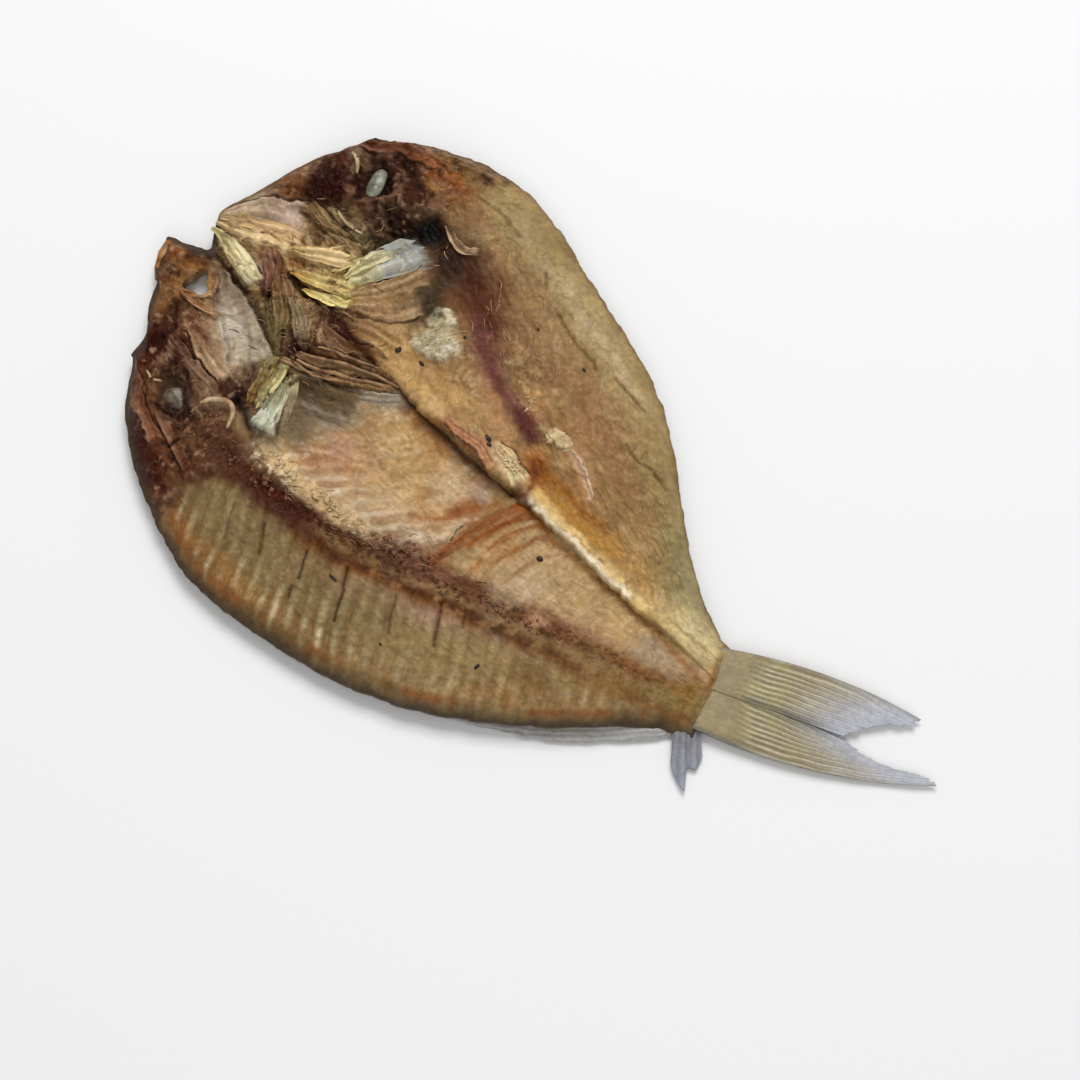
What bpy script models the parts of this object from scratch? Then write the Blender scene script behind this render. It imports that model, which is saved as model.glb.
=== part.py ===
"""Dried fish, split along its back and opened flat, as one solid.

The fish lies on its skin with the cut flesh up. The fold between the two halves runs along X, under the belly,
with the jaws at -X and the tail at +X. The half at -Y keeps the backbone, and the half at +Y is the plain fillet.
The origin is under the fold at half the fish's length, on the flat underside that it rests on.
"""
import math

import bmesh
import bpy
from mathutils import Vector

MM = 0.001

# Driving sizes, in millimetres.
BODY_FRONT = -128.0  # where the two sides of the head begin
BODY_BACK = 81.0  # where the flesh ends at the tail
SPINE_HALF = 90.0  # the widest that the half with the backbone gets
PLAIN_HALF = 77.0  # the widest that the plain half gets
FLESH = 5.5  # thickness of the dried flesh between its ridges and hollows
RIM = 1.7  # thickness left at the cut edges
CURL = 3.6  # how far the dried edges lift off the table
CURL_WIDTH = 13.0
ROWS, PLAIN_STRIPS, SPINE_STRIPS = 66, 15, 20
VERTEBRAE = 22
VERTEBRA_PITCH = 7.3
FIN_THICK = 1.3
FIN_RAYS = 8

# Half breadths along the fish: (station on the X axis, distance from the fold).
SPINE_EDGE = [(-127, 51), (-115, 66), (-96, 78), (-75, 87), (-58, SPINE_HALF), (-30, 86.5), (0, 78), (25, 65),
              (50, 45), (68, 27), (78, 21), (86, 17)]
PLAIN_EDGE = [(-129, 48), (-118, 62), (-100, 72), (-80, PLAIN_HALF), (-60, 75), (-30, 66.5), (0, 58), (20, 47),
              (45, 28), (62, 17), (76, 11)]
BACKBONE = [(-90, 56), (-60, 52), (-30, 47), (-10, 40), (10, 33), (30, 26), (50, 19.5), (70, 12), (86, 6)]
# The front edge from the plain side to the spine side: (share of the half breadth, station).
MOUTH = [(-1, -127.5), (-0.8, -129.5), (-0.62, -136), (-0.46, -140), (-0.4, -145), (-0.3, -148), (-0.25, -149.5),
         (-0.2, -142), (-0.15, -137), (-0.1, -138.5), (-0.05, -141), (0.05, -144), (0.3, -141), (0.6, -138),
         (0.85, -134), (1, -129)]


def through(points):
    """A smooth curve y(x) through the points, by cubic Hermite pieces."""
    slopes = []
    for i, point in enumerate(points):
        before, after = points[max(i - 1, 0)], points[min(i + 1, len(points) - 1)]
        slopes.append((after[1] - before[1]) / (after[0] - before[0]))

    def value(x):
        x = min(max(x, points[0][0]), points[-1][0])
        i = max(k for k in range(len(points) - 1) if points[k][0] <= x)
        (x0, y0), (x1, y1) = points[i], points[i + 1]
        step = x1 - x0
        s = (x - x0) / step
        rise = (3 - 2 * s) * s * s
        lead = s * (1 - s) ** 2 * slopes[i] - s * s * (1 - s) * slopes[i + 1]
        return y0 + (y1 - y0) * rise + lead * step

    return value


spine_edge, plain_edge, backbone, mouth = map(through, (SPINE_EDGE, PLAIN_EDGE, BACKBONE, MOUTH))


def ease(x):
    """0 to 1 with soft ends, as x goes from 0 to 1."""
    x = min(max(x, 0.0), 1.0)
    return x * x * (3 - 2 * x)


def mound(x, y, at, size, turn=0.0):
    """1 at the point, fading to 0 over an ellipse of these half sizes, turned by so many degrees."""
    dx, dy = x - at[0], y - at[1]
    c, s = math.cos(math.radians(turn)), math.sin(math.radians(turn))
    along, across = (dx * c + dy * s) / size[0], (dy * c - dx * s) / size[1]
    return math.exp(-1.4 * (along * along + across * across))


def ring(x, y, at, radius, width):
    away = math.hypot(x - at[0], y - at[1]) - radius
    return math.exp(-((away / width) ** 2))


def underside(inset):
    """Height of the skin: flat on the table, with the dried edges curling up. inset is the distance from the edge."""
    return CURL * max(0.0, 1 - inset / CURL_WIDTH) ** 2


def thickness(x, y, inset):
    """Thickness of the flesh at a place, from the ridges and hollows of a split fish."""
    plain = ease((y + 1) / 3)
    spine = 1 - plain
    bone = backbone(x)
    tail = ease((x - 40) / 45)
    head = 1 - ease((x + 92) / 16)

    loin = ease((-y - bone) / 7) * spine * (1 - head)
    furrow = 0.5 - 0.5 * math.cos(2 * math.pi * (x + 0.55 * (y + bone)) / VERTEBRA_PITCH)
    rise = loin * (3.2 - 0.9 * furrow)
    bowl = ease((x + 68) / 14) * (1 - ease((x + 12) / 8)) * mound(0, y, (0, -21), (1, 24))
    rise -= 3.0 * bowl * spine
    rise += 1.3 * mound(x, y, (-6, -15), (3.2, 19), 68) * spine
    ribs = 0.5 - 0.5 * math.cos(2 * math.pi * (x + 0.5 * y) / VERTEBRA_PITCH)
    rise += 0.7 * ribs * mound(0, -y, (0, 0.6 * bone), (1, 14)) * spine * (1 - head)

    belly_lip = plain * mound(0, y, (0, 3), (1, 7)) * ease((x + 58) / 12) * (1 - ease((x - 60) / 16))
    rise += 2.6 * belly_lip
    fillet = mound(x, y, (-28, 44), (70, 22), -15)
    rise += plain * (5.6 * fillet + 1.0)
    rise -= plain * 1.6 * mound(x, y, (14, 8), (34, 5))

    rise += head * 2.2
    for eye in ((-115, 45), (-106, -51)):
        rise += 2.0 * ring(x, y, eye, 9.5, 3.0) - 4.6 * mound(x, y, eye, (8.5, 7.5))
    rise -= 4.2 * mound(x, y, (-91, 45), (9, 6), -20)
    rise -= 3.0 * mound(x, y, (-76, -23), (10, 12), 30)
    rise -= 2.4 * mound(x, y, (-112, -25), (12, 8), -30)
    rise -= 2.0 * mound(x, y, (-90, -6), (12, 5), -20)

    body = FLESH + rise * (1 - 0.55 * tail)
    return RIM + (max(body, RIM + 0.8) - RIM) * ease((inset + 1.2) / 8)


def new_object(name, mesh, collection):
    made = bpy.data.objects.new(name, mesh)
    collection.objects.link(made)
    return made


def smooth_shaded(mesh):
    mesh.shade_smooth()
    mesh.set_sharp_from_angle(angle=math.radians(40))


def body_point(row, strip):
    """Place of a grid point in plan, and its distance from the edge. Strips run from the spine edge to the plain edge,
    and the middle strip of the spine half follows the backbone."""
    u = row / ROWS
    side = (strip - SPINE_STRIPS) / (PLAIN_STRIPS if strip > SPINE_STRIPS else SPINE_STRIPS)
    back = BODY_BACK - 5.0 * side
    x = mouth(side) + u * (back - mouth(side))
    station = BODY_FRONT + u * (BODY_BACK - BODY_FRONT)
    if side >= 0:
        half = plain_edge(station)
        y = side * half
    else:
        half = spine_edge(station)
        bone = backbone(station) if station > -90 else half * 0.62
        share = -2 * side
        y = -(share * bone if share < 1 else bone + (share - 1) * (half - bone))
    inset = min(half - abs(y), 0.8 * (x - mouth(side)), 1.6 * (back - x))
    return x, y, inset


def make_body(collection):
    """The opened body: a grid shaped to the outline, extruded down to the skin."""
    bpy.ops.mesh.primitive_grid_add(x_subdivisions=ROWS, y_subdivisions=SPINE_STRIPS + PLAIN_STRIPS, size=2)
    body = bpy.context.object
    body.name = "split_fish"
    for other in body.users_collection:
        other.objects.unlink(body)
    collection.objects.link(body)

    shape = bmesh.new()
    shape.from_mesh(body.data)
    places = {}
    for vert in shape.verts:
        row = round((vert.co.x + 1) / 2 * ROWS)
        strip = round((vert.co.y + 1) / 2 * (SPINE_STRIPS + PLAIN_STRIPS))
        x, y, inset = body_point(row, strip)
        vert.co = Vector((x, y, underside(inset) + thickness(x, y, inset))) * MM
        places[vert.co.x, vert.co.y] = inset
    lowered = bmesh.ops.extrude_face_region(shape, geom=shape.faces[:], use_keep_orig=True)
    top = {vert for vert in shape.verts}
    skin = {item for item in lowered["geom"] if isinstance(item, bmesh.types.BMVert)}
    for vert in skin:
        vert.co.z = underside(places[vert.co.x, vert.co.y]) * MM
    top -= skin
    bmesh.ops.recalc_face_normals(shape, faces=shape.faces[:])
    under = [face for face in shape.faces if all(vert in skin for vert in face.verts)]
    for face in under:
        face.material_index = 1
    flat = [face for face in under if all(vert.co.z < 1e-7 for vert in face.verts)]
    bmesh.ops.dissolve_faces(shape, faces=flat, use_verts=True)
    shape.to_mesh(body.data)
    shape.free()
    smooth_shaded(body.data)
    return body


def top_height(x, y):
    """Height of the flesh's surface over a point inside the outline, in millimetres."""
    half = plain_edge(x) if y >= 0 else spine_edge(x)
    inset = half - abs(y)
    return underside(inset) + thickness(x, y, inset)


def oriented(made, start, end):
    """Moves an object built along Z so that it runs from start to end, both in millimetres."""
    start, end = Vector(start) * MM, Vector(end) * MM
    made.rotation_mode = "QUATERNION"
    made.rotation_quaternion = (end - start).to_track_quat("Z", "Y")
    made.location = (start + end) / 2
    return made


def spindle(name, start, end, radius_start, radius_end, collection, sides=8):
    """A tapered round piece from start to end, such as a vertebra or a spine of the jaw."""
    shape = bmesh.new()
    length = (Vector(end) - Vector(start)).length
    bmesh.ops.create_cone(shape, cap_ends=True, segments=sides, radius1=radius_start * MM,
                          radius2=radius_end * MM, depth=length * MM)
    mesh = bpy.data.meshes.new(name)
    shape.to_mesh(mesh)
    shape.free()
    return oriented(new_object(name, mesh, collection), start, end)


def egg(name, at, sizes, turn, collection, tilt=0.0):
    """An ellipsoid with these half sizes, turned about Z and tilted about its own long side, in degrees."""
    shape = bmesh.new()
    bmesh.ops.create_uvsphere(shape, u_segments=12, v_segments=8, radius=MM)
    bmesh.ops.scale(shape, vec=sizes, verts=shape.verts[:])
    mesh = bpy.data.meshes.new(name)
    shape.to_mesh(mesh)
    shape.free()
    made = new_object(name, mesh, collection)
    made.location = Vector(at) * MM
    made.rotation_euler = (math.radians(tilt), 0, math.radians(turn))
    return made


def tube(name, points, radius, collection):
    """A round rod along points in millimetres, as a mesh."""
    curve = bpy.data.curves.new(name, "CURVE")
    curve.dimensions = "3D"
    curve.bevel_depth = radius * MM
    curve.bevel_resolution = 1
    curve.use_fill_caps = True
    line = curve.splines.new("POLY")
    line.points.add(len(points) - 1)
    for knot, point in zip(line.points, points):
        knot.co = (*(Vector(point) * MM), 1)
    return made_mesh(new_object(name, curve, collection), collection)


def plate(name, outline, thick, collection):
    """A flat plate of this outline, lying level and centred on its thickness, as a mesh."""
    curve = bpy.data.curves.new(name, "CURVE")
    curve.dimensions = "2D"
    curve.fill_mode = "BOTH"
    curve.extrude = thick * MM / 2
    line = curve.splines.new("POLY")
    line.points.add(len(outline) - 1)
    line.use_cyclic_u = True
    for knot, point in zip(line.points, outline):
        knot.co = (point[0] * MM, point[1] * MM, 0, 1)
    return made_mesh(new_object(name, curve, collection), collection)


def made_mesh(made, collection):
    """The curve object as a closed mesh object in the same place."""
    name = made.name
    bpy.context.view_layer.update()
    evaluated = made.evaluated_get(bpy.context.evaluated_depsgraph_get())
    mesh = bpy.data.meshes.new_from_object(evaluated)
    shape = bmesh.new()
    shape.from_mesh(mesh)
    bmesh.ops.remove_doubles(shape, verts=shape.verts[:], dist=1e-6)
    bmesh.ops.recalc_face_normals(shape, faces=shape.faces[:])
    shape.to_mesh(mesh)
    shape.free()
    bpy.data.objects.remove(made)
    return new_object(name, mesh, collection)


def add_backbone(collection):
    """The row of vertebrae, thinner towards the tail, half sunk in the flesh."""
    for i in range(VERTEBRAE):
        x = -78 + i * VERTEBRA_PITCH
        start, end = x - 0.38 * VERTEBRA_PITCH, x + 0.38 * VERTEBRA_PITCH
        radius = 3.6 - 1.8 * i / VERTEBRAE
        height = top_height(x, -backbone(x)) - 0.25 * radius
        spindle(f"vertebra_{i:02d}", (start, -backbone(start), height), (end, -backbone(end), height),
                radius, 0.86 * radius, collection)


def add_jaws(collection):
    """The split jaws at the front: horned upper jaw on the spine half, and the open V of the lower jaw."""
    spindle("jaw_horn", (-134, -11.5, 6.6), (-151, -15, 5.6), 2.6, 1.1, collection)
    spindle("jaw_hook", (-146, -22, 4.6), (-141.5, -29.5, 3.6), 2.0, 0.8, collection)
    spindle("jaw_bridge", (-128, -30, 6.4), (-143, -24, 5.6), 3.0, 2.2, collection)
    spindle("plain_lip", (-132, 22, 5.0), (-141, 14, 5.5), 3.4, 1.6, collection)
    tip = (-144, -5, 5.6)
    for name, far in (("lower_jaw_spine_side", (-117, -10, 6.6)), ("lower_jaw_plain_side", (-115, 10, 7.4))):
        tube(name, [tip, ((tip[0] + far[0]) / 2, (tip[1] + far[1]) / 2, 7.6), far], 1.9, collection)


def add_gills(collection):
    """Gill covers and the stiff leaves of the gill rays, standing proud in the throat."""
    leaves = (
        ("leaf_spine_1", (-89.5, -29, 6.6), (11, 2.2, 1.1), -72),
        ("leaf_spine_2", (-84, -32, 6.6), (11, 2.8, 1.1), -64),
        ("leaf_plain_1", (-88, 28, 7.8), (12, 3.6, 1.2), 70),
        ("leaf_plain_2", (-98, 14, 8.0), (11, 2.4, 1.1), 55),
        ("leaf_plain_3", (-103, 7, 7.8), (12, 2.2, 1.1), 20),
        ("cheek_plain", (-126, 12, 7.2), (12, 5, 1.6), 12),
    )
    for name, at, sizes, turn in leaves:
        egg(name, at, sizes, turn, collection)
    for i, drop in enumerate((0.0, 3.2, 6.0)):
        tube(f"throat_strand_{i}", [(-90, -16 - drop, 6.2), (-76, -9 - 0.9 * drop, 7.4), (-58, -2 - 0.4 * drop, 6.4)],
             0.9, collection)


def add_skull(collection):
    """The split brain case on the spine half, and the lens of each eye in its socket."""
    egg("brain_case", (-91, -52, 6.0), (7.5, 6.5, 4.6), 20, collection)
    egg("ear_bone", (-99, 60, 7.0), (9, 4.5, 3.2), -8, collection)
    egg("lens_plain", (-114.5, 44.5, 4.6), (2.8, 5.2, 2.2), 20, collection)
    egg("lens_spine", (-107, -52.5, 4.6), (5.0, 2.8, 2.2), 20, collection)


def tail_outline():
    """The forked tail: the root inside the flesh, then the edge of each lobe to its tip and back to the fork."""
    return [(72, 8), (79, 10.5), (90, 18), (101, 25), (111, 30), (121, 34.3), (131.5, 35.5), (130.5, 31.5),
            (125.5, 28), (122, 22.5), (119.5, 16), (125.5, 15), (135, 17.5), (142, 21), (147.5, 24), (148.5, 22),
            (141, 13.5), (130, 4.5), (118, -3.5), (105, -9.5), (94, -16), (86, -18), (77, -14)]


def add_fins(collection):
    """The forked tail with its rays, and the long back fin folded along the spine edge, with its torn end."""
    droop = math.radians(1.6)
    fan = plate("tail_fin", tail_outline(), FIN_THICK, collection)
    fan.location = (0, 0, 5.2 * MM)
    fan.rotation_euler = (0, droop, 0)
    for lobe, (root_a, root_b, tip_a, tip_b) in enumerate((
            ((80, 9), (83, -1), (126, 33.5), (114, 15)),
            ((84, -3), (87, -16), (118, 12), (141, 17)))):
        for i in range(FIN_RAYS // 2):
            share = (i + 0.5) / (FIN_RAYS // 2)
            root = Vector(root_a).lerp(Vector(root_b), share)
            tip = Vector(tip_a).lerp(Vector(tip_b), share)
            ray = [(p.x, p.y, 5.2 + 0.35 * FIN_THICK - p.x * math.sin(droop)) for p in
                   (root, root.lerp(tip, 0.5), root.lerp(tip, 0.97))]
            tube(f"tail_ray_{lobe}_{i}", ray, 0.55, collection)

    depths = [(30, 0.5), (38, 2.0), (46, 4.5), (54, 7.5), (62, 10.0), (70, 9.0), (76, 6.5), (81, 3.5)]
    inner = [(x, -(spine_edge(x) - 5)) for x, depth in depths]
    outer = [(x, -(spine_edge(x) + depth)) for x, depth in depths]
    back_fin = plate("back_fin", inner + outer[::-1], FIN_THICK, collection)
    back_fin.location = (0, 0, 2.3 * MM)

    # the torn grey end of the fin, bent outward beside the root of the tail
    torn = [(78, -14), (86, -14), (92.5, -22), (90.5, -23.5), (94.5, -29.2), (88, -25.5), (83, -22), (79, -19)]
    torn_fin = plate("torn_fin", torn, FIN_THICK, collection)
    torn_fin.location = (0, 0, 2.3 * MM)
    torn_fin.rotation_euler = (math.radians(1.5), 0, 0)


def add_cutters(collection):
    """What is cut away: the gap behind the upper jaw, and the gill opening's deep pit."""
    spindle("jaw_gap", (-130.5, -20.5, -3), (-130.5, -20.5, 14), 3.2, 3.2, collection, sides=12)
    egg("gill_pit", (-91, 44, 9.5), (8.5, 5, 5.0), -20, collection)
    egg("socket_plain", (-115, 46, 10.5), (8, 7, 5.2), 0, collection)
    egg("socket_spine", (-108, -51, 10.0), (8, 6, 5.2), 0, collection)


def material(name, colour, roughness):
    made = bpy.data.materials.new(name)
    made.use_nodes = True
    shader = made.node_tree.nodes["Principled BSDF"]
    shader.inputs["Base Color"].default_value = (*colour, 1)
    shader.inputs["Roughness"].default_value = roughness
    shader.inputs["Metallic"].default_value = 0
    return made


def boolean(made, name, operation, collection):
    modifier = made.modifiers.new(name, "BOOLEAN")
    modifier.operation = operation
    modifier.operand_type = "COLLECTION"
    modifier.collection = collection
    modifier.solver = "EXACT"
    modifier.use_self = operation == "UNION"


def main():
    for old in list(bpy.data.objects):
        bpy.data.objects.remove(old)
    groups = {}
    for name in ("split_dried_fish", "cutters", "joined_pieces", "socket_pieces"):
        groups[name] = bpy.data.collections.new(name)
        bpy.context.scene.collection.children.link(groups[name])

    body = make_body(groups["split_dried_fish"])
    body.data.materials.append(material("dried_flesh", (0.38, 0.24, 0.11), 0.5))
    body.data.materials.append(material("dried_skin", (0.24, 0.19, 0.13), 0.45))

    add_cutters(groups["cutters"])
    add_backbone(groups["joined_pieces"])
    add_jaws(groups["joined_pieces"])
    add_gills(groups["joined_pieces"])
    add_fins(groups["joined_pieces"])
    add_skull(groups["socket_pieces"])
    boolean(body, "Cut", "DIFFERENCE", groups["cutters"])
    boolean(body, "Join", "UNION", groups["joined_pieces"])
    boolean(body, "Join sockets", "UNION", groups["socket_pieces"])
    for name in ("cutters", "joined_pieces", "socket_pieces"):
        for helper in groups[name].objects:
            helper.hide_render = True
            helper.display_type = "WIRE"


main()
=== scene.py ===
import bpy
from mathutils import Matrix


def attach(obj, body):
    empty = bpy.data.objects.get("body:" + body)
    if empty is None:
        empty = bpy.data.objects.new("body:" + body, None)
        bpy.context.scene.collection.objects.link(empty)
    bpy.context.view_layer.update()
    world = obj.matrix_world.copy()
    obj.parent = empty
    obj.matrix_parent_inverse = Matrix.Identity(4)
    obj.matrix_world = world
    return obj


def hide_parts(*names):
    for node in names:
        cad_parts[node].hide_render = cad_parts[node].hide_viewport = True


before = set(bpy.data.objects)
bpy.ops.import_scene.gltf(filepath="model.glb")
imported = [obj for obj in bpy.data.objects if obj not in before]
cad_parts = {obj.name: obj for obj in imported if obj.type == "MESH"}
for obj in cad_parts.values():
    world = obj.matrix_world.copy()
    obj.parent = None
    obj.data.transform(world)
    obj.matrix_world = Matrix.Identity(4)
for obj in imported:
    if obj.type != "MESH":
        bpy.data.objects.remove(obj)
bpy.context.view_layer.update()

import copy
import math

import bmesh
import bpy
import numpy as np
from mathutils import Vector, noise

mm = 0.001
collection = bpy.context.scene.collection


# helpers for shapes

def soft(x):
    x = np.clip(x, 0.0, 1.0)
    return x * x * (3 - 2 * x)


def wave(turns):
    # 1 at every whole turn and 0 halfway between
    return 0.5 + 0.5 * np.cos(2 * np.pi * turns)


def turning(degrees):
    way = math.radians(degrees)
    return math.cos(way), math.sin(way)


def curveThrough(points):
    knots = np.array(points, float)
    xs, ys = knots[:, 0], knots[:, 1]
    ahead = np.minimum(np.arange(len(xs)) + 1, len(xs) - 1)
    behind = np.maximum(np.arange(len(xs)) - 1, 0)
    slopes = (ys[ahead] - ys[behind]) / (xs[ahead] - xs[behind])

    def value(x):
        x = np.clip(x, xs[0], xs[-1])
        i = np.clip(np.searchsorted(xs, x, side="right") - 1, 0, len(xs) - 2)
        step = xs[i + 1] - xs[i]
        s = (x - xs[i]) / step
        lead = s * (1 - s) * ((1 - s) * slopes[i] - s * slopes[i + 1])
        return ys[i] + (ys[i + 1] - ys[i]) * s * s * (3 - 2 * s) + lead * step

    return value


def rough(x, y, size, seed, octaves=3):
    # smooth random field, about -1 to 1, with lumps of this size in mm
    rng = np.random.default_rng(seed)
    total, weight, whole = 0.0, 1.0, 0.0
    for _ in range(octaves):
        table = rng.random((128, 128)) * 2 - 1
        gx, gy = x / size + 31.7, y / size + 17.3
        ix, iy = np.floor(gx).astype(int), np.floor(gy).astype(int)
        fx, fy = soft(gx - ix), soft(gy - iy)
        low = table[ix % 128, iy % 128] * (1 - fx) + table[(ix + 1) % 128, iy % 128] * fx
        high = table[ix % 128, (iy + 1) % 128] * (1 - fx) + table[(ix + 1) % 128, (iy + 1) % 128] * fx
        total = total + weight * (low * (1 - fy) + high * fy)
        whole += weight
        weight *= 0.55
        size *= 0.47
    return 1.6 * total / whole


def streaks(x, y, direction, across, along, seed):
    # a random field drawn out along one direction, in degrees
    c, s = turning(direction)
    return rough((x * c + y * s) * across / along, y * c - x * s, across, seed)


def linear(code):
    parts = [int(code[i:i + 2], 16) / 255 for i in (0, 2, 4)]
    return np.array([v / 12.92 if v <= 0.04045 else ((v + 0.055) / 1.055) ** 2.4 for v in parts])


def dyed(tint, mask, code):
    # the colours moved towards one colour, fully where the mask is 1
    return tint + (linear(code) - tint) * mask[:, None]


# the fish's outline and thickness, as the part has them

fish = {
    "front": -128.0, "back": 81.0, "flesh": 5.5, "rim": 1.7, "curl": 3.6, "curlWidth": 13.0,
    "spineEdge": [(-127, 52), (-115, 67), (-96, 79), (-75, 87.5), (-58, 90.5), (-30, 87), (0, 79), (25, 65.5),
                  (50, 45), (68, 26), (77, 19.6), (86, 14.5)],
    "plainEdge": [(-129, 48), (-118, 62), (-100, 72), (-80, 77), (-60, 75), (-30, 66.5), (0, 58), (20, 47),
                  (45, 28), (62, 17), (76, 11)],
    "backbone": [(-90, 56), (-60, 52), (-30, 47), (-10, 40), (10, 33), (30, 26), (50, 19.5),
                 (70, 12), (86, 6)],
    "mouth": [(-1, -127.5), (-0.8, -129.5), (-0.62, -136), (-0.46, -140), (-0.4, -145), (-0.3, -148),
              (-0.25, -149.5), (-0.2, -142), (-0.15, -137), (-0.1, -138.5), (-0.05, -141), (0.05, -144),
              (0.3, -141), (0.6, -138), (0.85, -134), (1, -129)],
    "eyes": [(-115, 45), (-106, -51)],
    "jawHole": (-130.5, -20.5, 3.8),
}
spineEdge, plainEdge = curveThrough(fish["spineEdge"]), curveThrough(fish["plainEdge"])
backbone, mouth = curveThrough(fish["backbone"]), curveThrough(fish["mouth"])


def planOf(u, side):
    # where a point at share u of the length and side -1 to 1 lies on the table, and how far from the edge
    back = fish["back"] - 5.0 * side
    x = mouth(side) + u * (back - mouth(side))
    station = fish["front"] + u * (fish["back"] - fish["front"])
    half = np.where(side >= 0, plainEdge(station), spineEdge(station))
    neck = soft((station + 100) / 22)
    bone = backbone(station) * neck + half * 0.62 * (1 - neck)
    share = np.maximum(-2 * side, 0)
    y = np.where(side >= 0, side * half,
                 -np.where(share < 1, share * bone, bone + (share - 1) * (half - bone)))
    inset = np.minimum(half - np.abs(y), np.minimum(0.8 * (x - mouth(side)), 1.6 * (back - x)))
    return x, y, np.maximum(inset, 0)


def undersideOf(x, inset):
    # the rim curls up a little all round, but hardly at the root of the tail
    atEdge = np.maximum(0.0, 1 - inset / fish["curlWidth"]) ** 2
    return fish["curl"] * atEdge * (1 - 0.85 * soft((x - 62) / 14))


def mound(x, y, at, size, turn=0.0):
    dx, dy = x - at[0], y - at[1]
    c, s = turning(turn)
    return np.exp(-1.4 * (((dx * c + dy * s) / size[0]) ** 2 + ((dy * c - dx * s) / size[1]) ** 2))


class Flesh:
    # the cut surface at many points at once: each step adds height in mm or dyes the colour where its mask is
    def __init__(self, x, y, inset):
        self.x, self.y, self.inset = x, y, inset
        self.wx = x + 1.5 * rough(x, y, 9, 11) + 0.5 * rough(x, y, 2.2, 12)
        self.wy = y + 1.5 * rough(x, y, 9, 13) + 0.5 * rough(x, y, 2.2, 14)
        self.fx, self.fy = x + 2.6 * rough(x, y, 15, 123), y + 2.6 * rough(x, y, 15, 124)
        self.plain = soft((y + 0.6) / 1.2)
        self.spine = 1 - self.plain
        self.head = 1 - soft((x + 88 + 9 * rough(x, y, 10, 15)) / 8)
        self.body = 1 - self.head
        self.out = -y - backbone(x)  # distance outward from the backbone, on its half
        # fibres of the throat spread from where the gills meet
        away, turn = np.hypot(self.wx + 96, self.wy - 2), np.arctan2(self.wy - 2, self.wx + 96)
        self.fan = rough(away * 0.14, turn * 17, 1.0, 17)
        self.throat = np.exp(-(np.hypot((x + 108) / 30, (y - 1) / 27)) ** 4)
        self.height = np.zeros_like(x)
        self.tint = np.zeros((len(x), 3))
        self.kept = None

    def blob(self, x, y, long, wide, turn=0.0):
        dx, dy = self.wx - x, self.wy - y
        c, s = turning(turn)
        r = np.sqrt(((dx * c + dy * s) / long) ** 2 + ((dy * c - dx * s) / wide) ** 2)
        return np.exp(-0.7 * r ** 3)

    def stroke(self, points, width, wobble=1.0):
        wx, wy = self.x + wobble * (self.wx - self.x), self.y + wobble * (self.wy - self.y)
        away = np.full_like(wx, 1e9)
        for (x0, y0), (x1, y1) in zip(points[:-1], points[1:]):
            dx, dy = x1 - x0, y1 - y0
            s = np.clip(((wx - x0) * dx + (wy - y0) * dy) / (dx * dx + dy * dy), 0, 1)
            away = np.minimum(away, np.hypot(wx - x0 - s * dx, wy - y0 - s * dy))
        return np.exp(-(away / width) ** 2)

    def band(self, points, startWide, endWide, wobble=0.6):
        # share along a line, place across it (edges at -1 and 1), a mask of the band and a wider one round it
        wx, wy = self.x + wobble * (self.wx - self.x), self.y + wobble * (self.wy - self.y)
        lengths = [math.hypot(b[0] - a[0], b[1] - a[1]) for a, b in zip(points[:-1], points[1:])]
        away, along, side, gone = np.full_like(wx, 1e9), np.zeros_like(wx), np.zeros_like(wx), 0.0
        for (x0, y0), (x1, y1), length in zip(points[:-1], points[1:], lengths):
            dx, dy = (x1 - x0) / length, (y1 - y0) / length
            s = np.clip((wx - x0) * dx + (wy - y0) * dy, 0, length)
            far = np.hypot(wx - x0 - s * dx, wy - y0 - s * dy)
            near = far < away
            away, along = np.where(near, far, away), np.where(near, (gone + s) / sum(lengths), along)
            side = np.where(near, (wy - y0) * dx - (wx - x0) * dy, side)
            gone += length
        half = 0.5 * (startWide + (endWide - startWide) * along) * (0.55 + 0.45 * soft(along / 0.3))
        hair = rough(along * sum(lengths) * 0.16, side, 1.0, 121)
        ends = soft(along / 0.08) * soft((1 - along) / 0.12 + 0.5 * rough(side, along * 6, 1.4, 122))
        return (along, side / half, soft((half - away) / 0.5 + 0.5) * ends,
                soft((1.5 * half - away) / 0.8 + 0.5) * ends, hair)

    def nearby(self, points, reach):
        # the same surface, only its points close to a line, and which ones they are
        px, py = np.array(points, float).T
        index = np.flatnonzero((self.x > px.min() - reach) & (self.x < px.max() + reach)
                               & (self.y > py.min() - reach) & (self.y < py.max() + reach))
        part = copy.copy(self)
        part.x, part.y, part.wx, part.wy = (values[index] for values in (self.x, self.y, self.wx, self.wy))
        return part, index

    def leaves(self):
        # the folds of tissue near these points: their number, points, place along and across, masks and hair
        if self.kept is None:
            self.kept = []
            for number, (points, start, end, *_) in enumerate(tissue):
                part, index = self.nearby(points, 0.8 * max(start, end) + 2)
                if len(index):
                    self.kept.append((number, index, *part.band(points, start, end)))
        return self.kept

    def dye(self, mask, code):
        self.tint += (linear(code) - self.tint) * np.clip(mask, 0, 1)[:, None]

    def dapple(self, spots):
        for px, py, long, wide, turn, code, strength in spots:
            self.dye(self.blob(px, py, long, wide, turn) * strength, code)

    def draw(self, table):
        for half, points, width, wobble, strength, code, *patch in table:
            mask = self.stroke(points, width, wobble) * strength
            if half:
                mask = mask * (self.plain if half == "plain" else self.spine)
            if patch:
                least, size, seed = patch
                mask = mask * soft(least + rough(self.x, self.y, size, seed))
            self.dye(mask, code)

    def lift(self, amount):
        self.height += amount


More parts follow.
